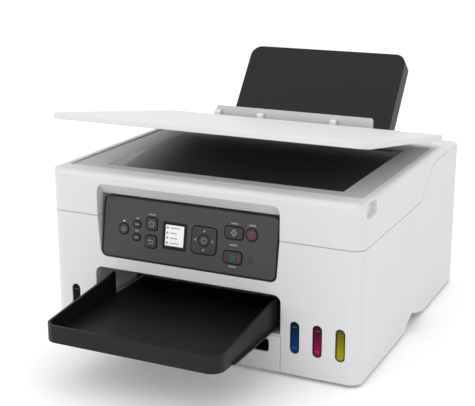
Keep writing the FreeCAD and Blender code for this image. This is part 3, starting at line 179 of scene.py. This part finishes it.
def moulded(name, colour, gloss, shine=0.5):
    """A plastic with the moulded grain: its colour, its roughness and how strongly it mirrors."""
    material = bpy.data.materials.new(name)
    material.use_nodes = True
    tree = material.node_tree
    shader = tree.nodes["Principled BSDF"]
    shader.inputs["Specular IOR Level"].default_value = shine
    skin = tree.nodes.new("ShaderNodeGroup")
    skin.name = "grain"
    skin.node_tree = bpy.data.node_groups["moulded_grain"]
    skin.inputs["Color"].default_value = (*colour, 1)
    skin.inputs["Gloss"].default_value = gloss
    tree.links.new(skin.outputs["Color"], shader.inputs["Base Color"])
    tree.links.new(skin.outputs["Roughness"], shader.inputs["Roughness"])
    tree.links.new(skin.outputs["Normal"], shader.inputs["Normal"])
    return material


def paint(material, *names):
    """Gives the solids of these names one material."""
    for name in names:
        target = bpy.data.objects[name]
        target.data.materials.clear()
        target.data.materials.append(material)


dark_plastic = moulded("dark_plastic", (0.016, 0.016, 0.017), 0.45, 0.25)
rubber = moulded("rubber", (0.014, 0.014, 0.014), 0.75, 0.2)
paint(dark_plastic, "base_tray")
paint(rubber, "rubber_feet")

# Print works: a bent steel frame on the base tray, with its rail, the motors and the steel feed roller.
# The sheet is brushed along X, so its colour and gloss follow a noise that is stretched along X.
steel = bpy.data.materials.new("steel")
steel.use_nodes = True
nodes, links = steel.node_tree.nodes, steel.node_tree.links
shader = nodes["Principled BSDF"]
shader.inputs["Metallic"].default_value = 1
where = nodes.new("ShaderNodeTexCoord")
stretch = nodes.new("ShaderNodeMapping")
stretch.inputs["Scale"].default_value = (8, 600, 600)
brush = nodes.new("ShaderNodeTexNoise")
brush.inputs["Scale"].default_value = 2
brush_colour = nodes.new("ShaderNodeValToRGB")
brush_colour.color_ramp.elements[0].color = (0.45, 0.46, 0.47, 1)
brush_colour.color_ramp.elements[1].color = (0.66, 0.67, 0.68, 1)
brush_rough = nodes.new("ShaderNodeMapRange")
brush_rough.inputs["To Min"].default_value = 0.28
brush_rough.inputs["To Max"].default_value = 0.45
links.new(where.outputs["Object"], stretch.inputs["Vector"])
links.new(stretch.outputs["Vector"], brush.inputs["Vector"])
links.new(brush.outputs["Fac"], brush_colour.inputs["Fac"])
links.new(brush_colour.outputs["Color"], shader.inputs["Base Color"])
links.new(brush.outputs["Fac"], brush_rough.inputs["Value"])
links.new(brush_rough.outputs["Result"], shader.inputs["Roughness"])
paint(steel, "print_frame", "feed_roller", "carriage_motor", "feed_motor", "power_supply", "usb_socket",
      "case_screws")

# Dark works: carriage, heads, pulleys, platen, capping station, cartridge, inlet and sensor, black plastic.
# The belts and roller tyres are rubber, pressed or stretched over what carries them.
paint(dark_plastic, "platen", "capping_station", "maintenance_cartridge", "power_inlet", "carriage",
      "print_heads", "drive_pulley", "idler_pulley", "scan_sensor")
paint(rubber, "timing_belt", "feed_belt", "eject_roller", "pickup_roller")

# Main board: glass fibre under green solder mask, on four posts on the base tray.
# Its tracks are the thin joints of a brick pattern.
board = bpy.data.materials.new("board")
board.use_nodes = True
nodes, links = board.node_tree.nodes, board.node_tree.links
tracks = nodes.new("ShaderNodeTexBrick")
tracks.inputs["Scale"].default_value = 160
tracks.inputs["Color1"].default_value = (0.01, 0.09, 0.03, 1)
tracks.inputs["Color2"].default_value = (0.015, 0.13, 0.05, 1)
tracks.inputs["Mortar"].default_value = (0.05, 0.25, 0.10, 1)
where = nodes.new("ShaderNodeTexCoord")
links.new(where.outputs["Object"], tracks.inputs["Vector"])
links.new(tracks.outputs["Color"], nodes["Principled BSDF"].inputs["Base Color"])
nodes["Principled BSDF"].inputs["Roughness"].default_value = 0.35
paint(board, "main_board")

# Case: the white shell, scanner shell, lid, covers and hinges, injection moulded in pale grey-white plastic.
# The scanner shell closes on the main shell along a stepped seam, on a hinge at the rear.
case_white = moulded("case_white", (0.79, 0.79, 0.805), 0.45, 0.35)
paint(case_white, "main_case", "scanner_case", "maintenance_cover", "rear_panel", "lid_hinges",
      "document_lid", "flap_clips")

# Trays: the pull-out output tray and the rear paper support, with the rear tray and its two paper guides.
# All are black satin mouldings; the rear tray is fixed under the deck, and the others slide.
tray_black = moulded("tray_black", (0.008, 0.008, 0.0085), 0.38, 0.26)
paint(tray_black, "output_tray", "paper_support", "rear_tray", "paper_guide_left", "paper_guide_right")

# Ink tanks: clear moulded tanks filled with ink, whose noses show through the four windows in the case.
# The ink is painted darker towards the top and in a band along the window's edge, both painted shade, and
# each tank has a grey rubber cap.
rim = bpy.data.node_groups.new("rim_mask", "ShaderNodeTree")
rim.interface.new_socket("Place", in_out="INPUT", socket_type="NodeSocketVector")
rim.interface.new_socket("Inner Half", in_out="INPUT", socket_type="NodeSocketVector")
rim.interface.new_socket("Corner", in_out="INPUT", socket_type="NodeSocketFloat")
rim.interface.new_socket("Soft", in_out="INPUT", socket_type="NodeSocketFloat")
rim.interface.new_socket("Mask", in_out="OUTPUT", socket_type="NodeSocketFloat")
inside = rim.nodes.new("NodeGroupInput")
outside = rim.nodes.new("NodeGroupOutput")
flat = rim.nodes.new("ShaderNodeVectorMath")
flat.operation = "MULTIPLY"
flat.inputs[1].default_value = (1, 1, 0)
folded = rim.nodes.new("ShaderNodeVectorMath")
folded.operation = "ABSOLUTE"
beyond = rim.nodes.new("ShaderNodeVectorMath")
beyond.operation = "SUBTRACT"
corner_part = rim.nodes.new("ShaderNodeVectorMath")
corner_part.operation = "MAXIMUM"
corner_part.inputs[1].default_value = (0, 0, 0)
distance = rim.nodes.new("ShaderNodeVectorMath")
distance.operation = "LENGTH"
ramp_start = rim.nodes.new("ShaderNodeMath")
ramp_start.operation = "SUBTRACT"
fade = rim.nodes.new("ShaderNodeMapRange")
rim.links.new(inside.outputs["Place"], flat.inputs[0])
rim.links.new(flat.outputs["Vector"], folded.inputs[0])
rim.links.new(folded.outputs["Vector"], beyond.inputs[0])
rim.links.new(inside.outputs["Inner Half"], beyond.inputs[1])
rim.links.new(beyond.outputs["Vector"], corner_part.inputs[0])
rim.links.new(corner_part.outputs["Vector"], distance.inputs[0])
rim.links.new(inside.outputs["Corner"], ramp_start.inputs[0])
rim.links.new(inside.outputs["Soft"], ramp_start.inputs[1])
rim.links.new(distance.outputs["Value"], fade.inputs["Value"])
rim.links.new(ramp_start.outputs["Value"], fade.inputs["From Min"])
rim.links.new(inside.outputs["Corner"], fade.inputs["From Max"])
rim.links.new(fade.outputs["Result"], outside.inputs["Mask"])


def rim_of(tree, middle, turn, half_wide, half_tall, corner, band, soft):
    """A mask that is 1 in a band along the edge of a rounded rectangle on a face.

    The place is turned about X until the face lies flat, and centred. What lies further than the corner
    radius from the inner rectangle, less the band, is in the rim.
    """
    place = tree.nodes.new("ShaderNodeTexCoord")
    turned = tree.nodes.new("ShaderNodeMapping")
    rotation = Euler((turn, 0, 0))
    turned.inputs["Rotation"].default_value = rotation
    turned.inputs["Location"].default_value = -(rotation.to_matrix() @ Vector(middle))
    mask = tree.nodes.new("ShaderNodeGroup")
    mask.node_tree = bpy.data.node_groups["rim_mask"]
    mask.inputs["Inner Half"].default_value = (half_wide - corner, half_tall - corner, 0)
    mask.inputs["Corner"].default_value = corner - band + soft
    mask.inputs["Soft"].default_value = soft
    tree.links.new(place.outputs["Object"], turned.inputs["Vector"])
    tree.links.new(turned.outputs["Vector"], mask.inputs["Place"])
    return mask.outputs["Mask"]


window_middle = 49.5 * mm
window_half_wide = 5.4 * mm
window_half_tall = 19.1 * mm
window_shade = 1.8 * mm
window_shade_soft = 1.0 * mm
painted_top_shade = 0.55
shade_dark = 0.12
for ink, deep, pale in (
        ("black", (0.003, 0.003, 0.004), (0.006, 0.006, 0.007)),
        ("cyan", (0.001, 0.018, 0.060), (0.003, 0.048, 0.230)),
        ("magenta", (0.090, 0.003, 0.028), (0.370, 0.004, 0.085)),
        ("yellow", (0.170, 0.145, 0.002), (0.430, 0.400, 0.004))):
    tank = bpy.data.materials.new("ink_" + ink)
    tank.use_nodes = True
    nodes, links = tank.node_tree.nodes, tank.node_tree.links
    shader = nodes["Principled BSDF"]
    shader.inputs["Roughness"].default_value = 0.22
    shader.inputs["Specular IOR Level"].default_value = 0.08
    where = nodes.new("ShaderNodeTexCoord")
    split = nodes.new("ShaderNodeSeparateXYZ")
    level = nodes.new("ShaderNodeMapRange")
    level.inputs["From Min"].default_value = window_middle - window_half_tall
    level.inputs["From Max"].default_value = window_middle + window_half_tall
    # Painted shade: the colour runs from pale low in the window to deep, and darker still towards the top.
    colours = nodes.new("ShaderNodeValToRGB")
    colours.color_ramp.elements[0].color = (*pale, 1)
    colours.color_ramp.elements[1].color = tuple(part * painted_top_shade for part in deep) + (1,)
    colours.color_ramp.elements.new(0.75).color = (*deep, 1)
    # Painted shade: a darker band of the ink along the window's edge, where the recess shades it.
    shadow = nodes.new("ShaderNodeMix")
    shadow.data_type = "RGBA"
    shadow.inputs["B"].default_value = tuple(part * shade_dark for part in deep) + (1,)
    links.new(where.outputs["Object"], split.inputs["Vector"])
    links.new(split.outputs["Z"], level.inputs["Value"])
    links.new(level.outputs["Result"], colours.inputs["Fac"])
    tank_low, tank_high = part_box("ink_tank_" + ink)
    tank_middle = ((tank_low[0] + tank_high[0]) / 2, tank_low[1], window_middle)
    links.new(rim_of(tank.node_tree, tank_middle, math.radians(-90), window_half_wide, window_half_tall,
                     window_half_wide, window_shade, window_shade_soft), shadow.inputs["Factor"])
    links.new(colours.outputs["Color"], shadow.inputs["A"])
    links.new(shadow.outputs["Result"], shader.inputs["Base Color"])
    paint(tank, "ink_tank_" + ink)
cap_grey = moulded("cap_grey", (0.18, 0.18, 0.19), 0.4)
paint(cap_grey, "tank_cap_black", "tank_cap_cyan", "tank_cap_magenta", "tank_cap_yellow")

# Control panel: a dark grey moulded plate that leans back in its opening in the front of the case.
# Its edge is painted black all round, painted shade where the plate rolls over into the case.
panel_lean = math.radians(9)
panel_foot = (-203.5, 112)
panel_left, panel_right, panel_tall = -130, 99, 75
panel_corner = 8
panel_shade_band = 2.2 * mm
panel_shade_soft = 0.4 * mm
panel_grey = moulded("panel_grey", (0.062, 0.062, 0.066), 0.5, 0.35)
tree = panel_grey.node_tree
panel_middle = ((panel_left + panel_right) / 2 * mm,
                (panel_foot[0] + panel_tall / 2 * math.sin(panel_lean)) * mm,
                (panel_foot[1] + panel_tall / 2 * math.cos(panel_lean)) * mm)
# Painted shade: a black band along the plate's edge, where it rolls over into the case.
painted_edge_shade = tree.nodes.new("ShaderNodeMix")
painted_edge_shade.data_type = "RGBA"
painted_edge_shade.inputs["B"].default_value = (0.002, 0.002, 0.002, 1)
edge_shade_band = rim_of(tree, panel_middle, panel_lean - math.radians(90), (panel_right - panel_left) / 2 * mm,
                   panel_tall / 2 * mm, panel_corner * mm, panel_shade_band, panel_shade_soft)
tree.links.new(edge_shade_band, painted_edge_shade.inputs["Factor"])
tree.links.new(tree.nodes["grain"].outputs["Color"], painted_edge_shade.inputs["A"])
tree.links.new(painted_edge_shade.outputs["Result"], tree.nodes["Principled BSDF"].inputs["Base Color"])
paint(panel_grey, "control_panel")

# Keys: separate moulded caps that stand a little proud of the plate in their own holes, on springs.
# They are a shade darker than the plate, and the stop key is dark red.
key_grey = moulded("key_grey", (0.040, 0.040, 0.043), 0.42, 0.35)
paint(key_grey, "power_button", "upper_key", "lower_key", "home_button", "back_button", "black_start_button",
      "colour_start_button", "direction_pad", "ok_button")
stop_red = moulded("stop_red", (0.085, 0.036, 0.037), 0.42, 0.35)
paint(stop_red, "stop_button")

# Key surrounds: black lines on the plate round each key's hole.
# A line is a flat bar carried along a closed outline, a twentieth of a millimetre proud of the plate.
print_thick = 0.05
print_bed = 0.03


def on_panel(across, up, out):
    """Places points of the panel's face: along X, up the leaning face, and out of it, in millimetres."""
    y = panel_foot[0] + up * math.sin(panel_lean) - out * math.cos(panel_lean)
    z = panel_foot[1] + up * math.cos(panel_lean) + out * math.sin(panel_lean)
    return np.stack([across, y, z], axis=-1) * mm


def skin(rings, loop=False):
    """Quads join each ring of points to the next. The ends are capped, or a loop closes on its first ring."""
    count, around = rings.shape[:2]
    index = np.arange(count * around).reshape(count, around)
    start = index if loop else index[:-1]
    ahead = np.roll(index, -1, axis=0) if loop else index[1:]
    quads = np.stack([start, np.roll(start, -1, axis=1), np.roll(ahead, -1, axis=1), ahead], axis=-1)
    faces = quads.reshape(-1, 4).tolist()
    if not loop:
        faces += [index[0][::-1].tolist(), index[-1].tolist()]
    return rings.reshape(-1, 3), faces


def printed_line(path, width, face, loop=False):
    """A flat bar carried along a path, with its sides met at each corner along the corner's bisector."""
    path = np.asarray(path, float)
    step = np.roll(path, -1, axis=0) - path
    step = step / np.maximum(np.linalg.norm(step, axis=1, keepdims=True), 1e-9)
    if not loop:
        step[-1] = step[-2]
    before = np.roll(step, 1, axis=0)
    if not loop:
        before[0] = step[0]
    side_after = np.stack([-step[:, 1], step[:, 0]], axis=1)
    side_before = np.stack([-before[:, 1], before[:, 0]], axis=1)
    shared_part = 1 + np.sum(side_after * side_before, axis=1, keepdims=True)
    side = (side_after + side_before) / np.maximum(shared_part, 0.3) * width / 2
    low = np.full((len(path), 1), face - print_bed)
    high = np.full((len(path), 1), face + print_thick)
    corners = [np.hstack([path - side, low]), np.hstack([path + side, low]),
               np.hstack([path + side, high]), np.hstack([path - side, high])]
    return skin(np.stack(corners, axis=1), loop)


def printed_patch(outline, face):
    """A flat patch: its outline, anticlockwise, carried straight out of the face."""
    outline = np.asarray(outline, float)
    low = np.full((len(outline), 1), face - print_bed)
    high = np.full((len(outline), 1), face + print_thick)
    return skin(np.stack([np.hstack([outline, low]), np.hstack([outline, high])]))


def arc(middle, radius, start=0, end=360, steps=32):
    """Points on a circle from one angle to another; a full circle leaves out its last point."""
    full = end - start >= 360
    angle = np.radians(np.linspace(start, end, steps, endpoint=not full))
    return np.stack([middle[0] + radius * np.cos(angle), middle[1] + radius * np.sin(angle)], axis=1)


def rounded_outline(middle, wide, tall, corner, steps=7):
    """Quarter arcs about the four corner centres in turn, which the straight sides join."""
    quarter = np.arange(4)[:, None] * np.pi / 2
    angle = quarter + np.linspace(0, np.pi / 2, steps)[None, :]
    x = middle[0] + np.sign(np.cos(quarter + np.pi / 4)) * (wide / 2 - corner) + corner * np.cos(angle)
    y = middle[1] + np.sign(np.sin(quarter + np.pi / 4)) * (tall / 2 - corner) + corner * np.sin(angle)
    return np.stack([x.ravel(), y.ravel()], axis=1)


def printed(name, shapes, body, material, place=on_panel):
    """Joins flat shapes into one piece, places it on its face and lets it ride on a body."""
    starts = np.cumsum([0] + [len(points) for points, faces in shapes])
    points = np.concatenate([points for points, faces in shapes])
    faces = [[int(start) + corner for corner in face]
             for start, shape in zip(starts, shapes) for face in shape[1]]
    mesh = bpy.data.meshes.new(name)
    mesh.from_pydata(place(points[:, 0], points[:, 1], points[:, 2]).tolist(), [], faces)
    mesh.update()
    mesh.materials.append(material)
    piece = bpy.data.objects.new(name, mesh)
    scene.collection.objects.link(piece)
    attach(piece, body)
    return piece


plate_face = 0
key_face = 0.9
surround_wide = 1.0
surround_gap = 0.4
surround_out = surround_gap + surround_wide / 2
power_spot, power_radius = (-101, 36), 6
upper_spot, lower_spot, small_key, small_corner = (-83.2, 43.6), (-83.2, 28), (9, 6.5), 2
home_spot, back_spot, square_key, square_corner = (-63.4, 46.5), (-63.4, 25.2), (14, 14), 3
pad_spot, pad_key, pad_round = (6.2, 35.6), (31, 31), 5
black_spot, colour_spot, start_key, start_corner = (43.7, 49.5), (43.7, 21), (22.5, 13.5), 3.5
stop_spot, stop_radius = (65.6, 50), 6.6
surround_black = moulded("surround_black", (0.003, 0.003, 0.003), 0.5, 0.2)
surrounds = []
for spot, radius in ((power_spot, power_radius), (stop_spot, stop_radius)):
    outline = arc(spot, radius + surround_out, steps=48)
    surrounds.append(printed_line(outline, surround_wide, plate_face, True))
for spot, size, corner in (
        (upper_spot, small_key, small_corner), (lower_spot, small_key, small_corner),
        (home_spot, square_key, square_corner), (back_spot, square_key, square_corner),
        (pad_spot, pad_key, pad_round),
        (black_spot, start_key, start_corner), (colour_spot, start_key, start_corner)):
    outline = rounded_outline(spot, size[0] + 2 * surround_out, size[1] + 2 * surround_out,
                              corner + surround_out)
    surrounds.append(printed_line(outline, surround_wide, plate_face, True))
printed("key_surrounds", surrounds, "printer_body", surround_black)

# Key signs: general signs printed on the caps in pale ink, each riding on its own key.
# Power, home, back, four arrows, a ring on the middle key, diamonds on the start keys and a ring on stop.
sign_white = moulded("sign_white", (0.42, 0.42, 0.41), 0.6, 0.3)
sign_green = moulded("sign_green", (0.010, 0.210, 0.130), 0.6, 0.3)
sign_red = moulded("sign_red", (0.300, 0.100, 0.105), 0.6, 0.3)
line_wide = 0.6
dash_half, dash_wide = 2.2, 1.1
power_ring, ok_ring, stop_ring = 2.3, 2.8, 3
start_line = 0.8


def moved(points, spot):
    """Points about a spot."""
    return np.asarray(points, float) + np.asarray(spot, float)


power_sign = [printed_line(arc(power_spot, power_ring, 130, 410), line_wide, key_face),
              printed_line(moved([(0, 0.4), (0, 2.9)], power_spot), line_wide, key_face)]
printed("power_sign", power_sign, "power_button", sign_white)
for name, spot in (("upper_key", upper_spot), ("lower_key", lower_spot)):
    dash = printed_line(moved([(-dash_half, 0), (dash_half, 0)], spot), dash_wide, key_face)
    printed(name + "_sign", [dash], name, sign_white)
roof = [(-3.6, 0.2), (0, 3.4), (3.6, 0.2)]
walls = [(-2.4, 0.6), (-2.4, -3), (2.4, -3), (2.4, 0.6)]
home_sign = [printed_line(moved(line, home_spot), line_wide, key_face) for line in (roof, walls)]
printed("home_sign", home_sign, "home_button", sign_white)
hook_turn = arc((1.4, -0.3), 1.8, 90, -90, 16)
hook = np.concatenate([[(-2.2, 1.5)], hook_turn, [(-2.6, -2.1)]])
hook_head = [(-1.6, 0), (-1.6, 3), (-4, 1.5)]
back_sign = [printed_line(moved(hook, back_spot), line_wide, key_face),
             printed_patch(moved(hook_head, back_spot), key_face)]
printed("back_sign", back_sign, "back_button", sign_white)
arrow_reach, arrow_long, arrow_half = 10.2, 2.6, 1.6
arrow = np.array([(arrow_reach, -arrow_half), (arrow_reach + arrow_long, 0), (arrow_reach, arrow_half)])
pad_sign = []
for quarter in range(4):
    angle = quarter * math.pi / 2
    turn = np.array([[math.cos(angle), math.sin(angle)], [-math.sin(angle), math.cos(angle)]])
    pad_sign.append(printed_patch(moved(arrow @ turn, pad_spot), key_face))
printed("pad_sign", pad_sign, "direction_pad", sign_white)
ok_sign = printed_line(arc(pad_spot, ok_ring), line_wide, key_face, True)
printed("ok_sign", [ok_sign], "ok_button", sign_white)
diamond = [(0, -3.8), (3.4, 0), (0, 3.8), (-3.4, 0)]
for name, spot, slot, ink in (("black_start", black_spot, "lamp", sign_white),
                              ("colour_start", colour_spot, "board", sign_green)):
    start_sign = [printed_line(moved(diamond, spot), start_line, key_face, True),
                  printed_line(moved([(0, -1.5), (0, 1.5)], spot), start_line, key_face)]
    printed(name + "_sign", start_sign, name + "_button", ink)
bracket = [(6.6, -3.6), (8.2, -2.4), (8.2, 2.4), (6.6, 3.6)]
bracket_line = printed_line(moved(bracket, colour_spot), start_line, key_face)
printed("colour_bracket", [bracket_line], "colour_start_button", sign_red)
stop_sign = [printed_line(arc(stop_spot, stop_ring), line_wide, key_face, True),
             printed_patch(moved([(-1.2, -1), (1.2, -1), (0, 1.3)], stop_spot), key_face)]
printed("stop_sign", stop_sign, "stop_button", sign_red)

# Plate signs: short plain bars printed beside the keys, and a warning triangle round the alarm lamp.
# Each bar is a flat patch with rounded ends, in grey ink.
bar_grey = moulded("bar_grey", (0.32, 0.32, 0.32), 0.6, 0.3)
sign_amber = moulded("sign_amber", (0.100, 0.070, 0.018), 0.6, 0.3)
bar_tall, bar_corner = 1.8, 0.8
bars = []
for spot, wide in (((-63.4, 57.4), 9), ((-83.2, 50.8), 4), ((-83.2, 35.8), 5), ((43.7, 60.2), 9),
                   ((65.6, 60.6), 9), ((43.7, 35.4), 10), ((43.7, 10.4), 10)):
    bars.append(printed_patch(rounded_outline(spot, wide, bar_tall, bar_corner), plate_face))
printed("name_bars", bars, "printer_body", bar_grey)
alarm_spot = (65.6, 20.8)
warning = printed_line(moved([(-5.4, -3.7), (5.4, -3.7), (0, 5.6)], alarm_spot), line_wide, plate_face, True)
printed("warning_sign", [warning], "printer_body", sign_amber)

# Lamps: two clear plastic lenses pressed into the plate, white over the power key and amber by the stop key.
# One material splits them at the middle of the printer.
lamp_clear = moulded("lamp_clear", (0.80, 0.80, 0.78), 0.2)
tree = lamp_clear.node_tree
where = tree.nodes.new("ShaderNodeTexCoord")
split = tree.nodes.new("ShaderNodeSeparateXYZ")
right_side = tree.nodes.new("ShaderNodeMath")
right_side.operation = "GREATER_THAN"
right_side.inputs[1].default_value = 0
lens_colour = tree.nodes.new("ShaderNodeMix")
lens_colour.data_type = "RGBA"
lens_colour.inputs["B"].default_value = (0.040, 0.028, 0.010, 1)
tree.links.new(where.outputs["Object"], split.inputs["Vector"])
tree.links.new(split.outputs["X"], right_side.inputs[0])
tree.links.new(right_side.outputs["Value"], lens_colour.inputs["Factor"])
tree.links.new(tree.nodes["grain"].outputs["Color"], lens_colour.inputs["A"])
tree.links.new(lens_colour.outputs["Result"], tree.nodes["Principled BSDF"].inputs["Base Color"])
paint(lamp_clear, "panel_lamps")

# Display: a black glossy window with a lit picture in it, held in the plate from behind.
# The picture is a white sheet of light with four plain rows, each a dot and a bar.
window_black = moulded("window_black", (0.002, 0.002, 0.002), 0.12, 0.25)
paint(window_black, "display")
screen_face = 0.3
picture_middle, picture_wide, picture_tall, picture_corner = (-32.4, 35.9), 24.2, 24.8, 0.6
picture_light = 0.18
picture_white = moulded("picture_white", (0.86, 0.87, 0.88), 0.5, 0.2)
shader = picture_white.node_tree.nodes["Principled BSDF"]
picture_white.node_tree.links.new(picture_white.node_tree.nodes["grain"].outputs["Color"],
                                  shader.inputs["Emission Color"])
shader.inputs["Emission Strength"].default_value = picture_light
picture_outline = rounded_outline(picture_middle, picture_wide, picture_tall, picture_corner)
picture = printed_patch(picture_outline, screen_face)
printed("screen_picture", [picture], "printer_body", picture_white)
row_grey = moulded("row_grey", (0.34, 0.35, 0.37), 0.5, 0.2)
picture_face = screen_face + print_thick
row_first, row_pitch = 9, 6
dot_left, dot_radius = 9.4, 1.4
row_start, row_tall, row_corner = 3.4, 1.1, 0.5
rows = []
for row, wide in enumerate((13, 9, 10, 12)):
    up = picture_middle[1] + row_first - row_pitch * row
    left = picture_middle[0] - dot_left
    row_middle = (left + row_start + wide / 2, up)
    rows.append(printed_patch(arc((left, up), dot_radius, steps=20), picture_face))
    rows.append(printed_patch(rounded_outline(row_middle, wide, row_tall, row_corner), picture_face))
printed("screen_rows", rows, "printer_body", row_grey)

# Level lines: two short pale lines moulded on each tank's nose, for the highest and the lowest ink level.
# They lie on the nose behind the window, near its two ends.
nose_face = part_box("ink_tank_cyan")[0][1] / mm
level_up, level_half, level_wide = 12.5, 2.6, 0.7
level_white = moulded("level_white", (0.16, 0.16, 0.16), 0.5, 0.3)


def on_nose(across, up, out):
    """Places points of the tank's upright nose: along X, up, and out to the front, in millimetres."""
    return np.stack([across, nose_face - out, up], axis=-1) * mm


for ink in ("black", "cyan", "magenta", "yellow"):
    tank_low, tank_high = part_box("ink_tank_" + ink)
    tank_middle = ((tank_low[0] + tank_high[0]) / 2 / mm, window_middle / mm)
    lines = [printed_line(moved([(-level_half, up), (level_half, up)], tank_middle), level_wide, 0)
             for up in (-level_up, level_up)]
    printed("level_lines_" + ink, lines, "printer_body", level_white, on_nose)

# Scanner top: the moulded frame round the glass, a little below the rim, painted greyer than the case as
# painted shade of the lid's shadow.
# The glass is bonded into it: a dark polished plate with a trace of dust, which is a soft noise in the gloss.
# Painted shade: the frame's grey stands in for the lid's shadow on the white plastic.
frame_grey = moulded("frame_grey", (0.58, 0.58, 0.59), 0.5, 0.35)
paint(frame_grey, "scanner_top")
glass = bpy.data.materials.new("scan_glass")
glass.use_nodes = True
nodes, links = glass.node_tree.nodes, glass.node_tree.links
shader = nodes["Principled BSDF"]
shader.inputs["Specular IOR Level"].default_value = 0.35
dust = nodes.new("ShaderNodeTexNoise")
dust.inputs["Scale"].default_value = 40
dust.inputs["Detail"].default_value = 6
dust_rough = nodes.new("ShaderNodeMapRange")
dust_rough.inputs["To Min"].default_value = 0.04
dust_rough.inputs["To Max"].default_value = 0.14
dust_colour = nodes.new("ShaderNodeValToRGB")
dust_colour.color_ramp.elements[0].color = (0.010, 0.011, 0.012, 1)
dust_colour.color_ramp.elements[1].color = (0.018, 0.019, 0.021, 1)
where = nodes.new("ShaderNodeTexCoord")
links.new(where.outputs["Object"], dust.inputs["Vector"])
links.new(dust.outputs["Fac"], dust_rough.inputs["Value"])
links.new(dust.outputs["Fac"], dust_colour.inputs["Fac"])
links.new(dust_rough.outputs["Result"], shader.inputs["Roughness"])
links.new(dust_colour.outputs["Color"], shader.inputs["Base Color"])
paint(glass, "scan_glass")

# Flap: the feed slot's cover, in a mid grey.
# It stands behind the lid, on a pin between three clips of the scanner shell.
flap_grey = moulded("flap_grey", (0.66, 0.66, 0.67), 0.5, 0.35)
paint(flap_grey, "feed_slot_flap")

# Lid pad: a thin white foam sheet glued under the lid, with soft rounded edges and a slightly full face.
# Its section, flat on top, round at the edge and crowned below, is carried round a rounded rectangle.
pad_wide, pad_long, pad_corner = 320, 256, 5
pad_middle_y = -144
pad_upper, pad_thick, pad_crown = -3.55, 1.5, 0.3
lid_pin_y, lid_pin_z = 104, 227.1
lid_tilt = math.radians(9.4)
edge_steps, face_steps = 9, 12
pad_outline = rounded_outline((0, 0), pad_wide, pad_long, pad_corner, edge_steps)
edge_turn = np.linspace(0, np.pi, edge_steps)
edge_in = pad_thick / 2 / (pad_long / 2)
top_core, face_rim, face_core = 0.5, 0.95, 0.05
face_reach = np.linspace(face_rim, face_core, face_steps)
reach = np.concatenate([[top_core], 1 - edge_in + edge_in * np.sin(edge_turn), face_reach])
drop = np.concatenate([[0], pad_thick / 2 * (1 - np.cos(edge_turn)), np.full(face_steps, pad_thick)])
drop = drop + pad_crown * np.clip(1 - reach ** 4, 0, 1) * (drop >= pad_thick)
pad_across = reach[::-1, None] * pad_outline[None, :, 0]
pad_along = pad_middle_y + reach[::-1, None] * pad_outline[None, :, 1]
pad_down = np.broadcast_to(pad_upper - drop[::-1, None], pad_across.shape)
pad_y = lid_pin_y + pad_along * math.cos(lid_tilt) + pad_down * math.sin(lid_tilt)
pad_z = lid_pin_z - pad_along * math.sin(lid_tilt) + pad_down * math.cos(lid_tilt)
pad_points, pad_faces = skin(np.stack([pad_across, pad_y, pad_z], axis=-1) * mm)
pad_mesh = bpy.data.meshes.new("foam_pad")
pad_mesh.from_pydata(pad_points.tolist(), [], pad_faces)
pad_mesh.update()
foam_pad = bpy.data.objects.new("foam_pad", pad_mesh)
scene.collection.objects.link(foam_pad)
pad_white = moulded("pad_white", (0.82, 0.82, 0.81), 0.7, 0.2)
pad_mesh.materials.append(pad_white)
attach(foam_pad, "document_lid")
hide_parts("lid_pad")
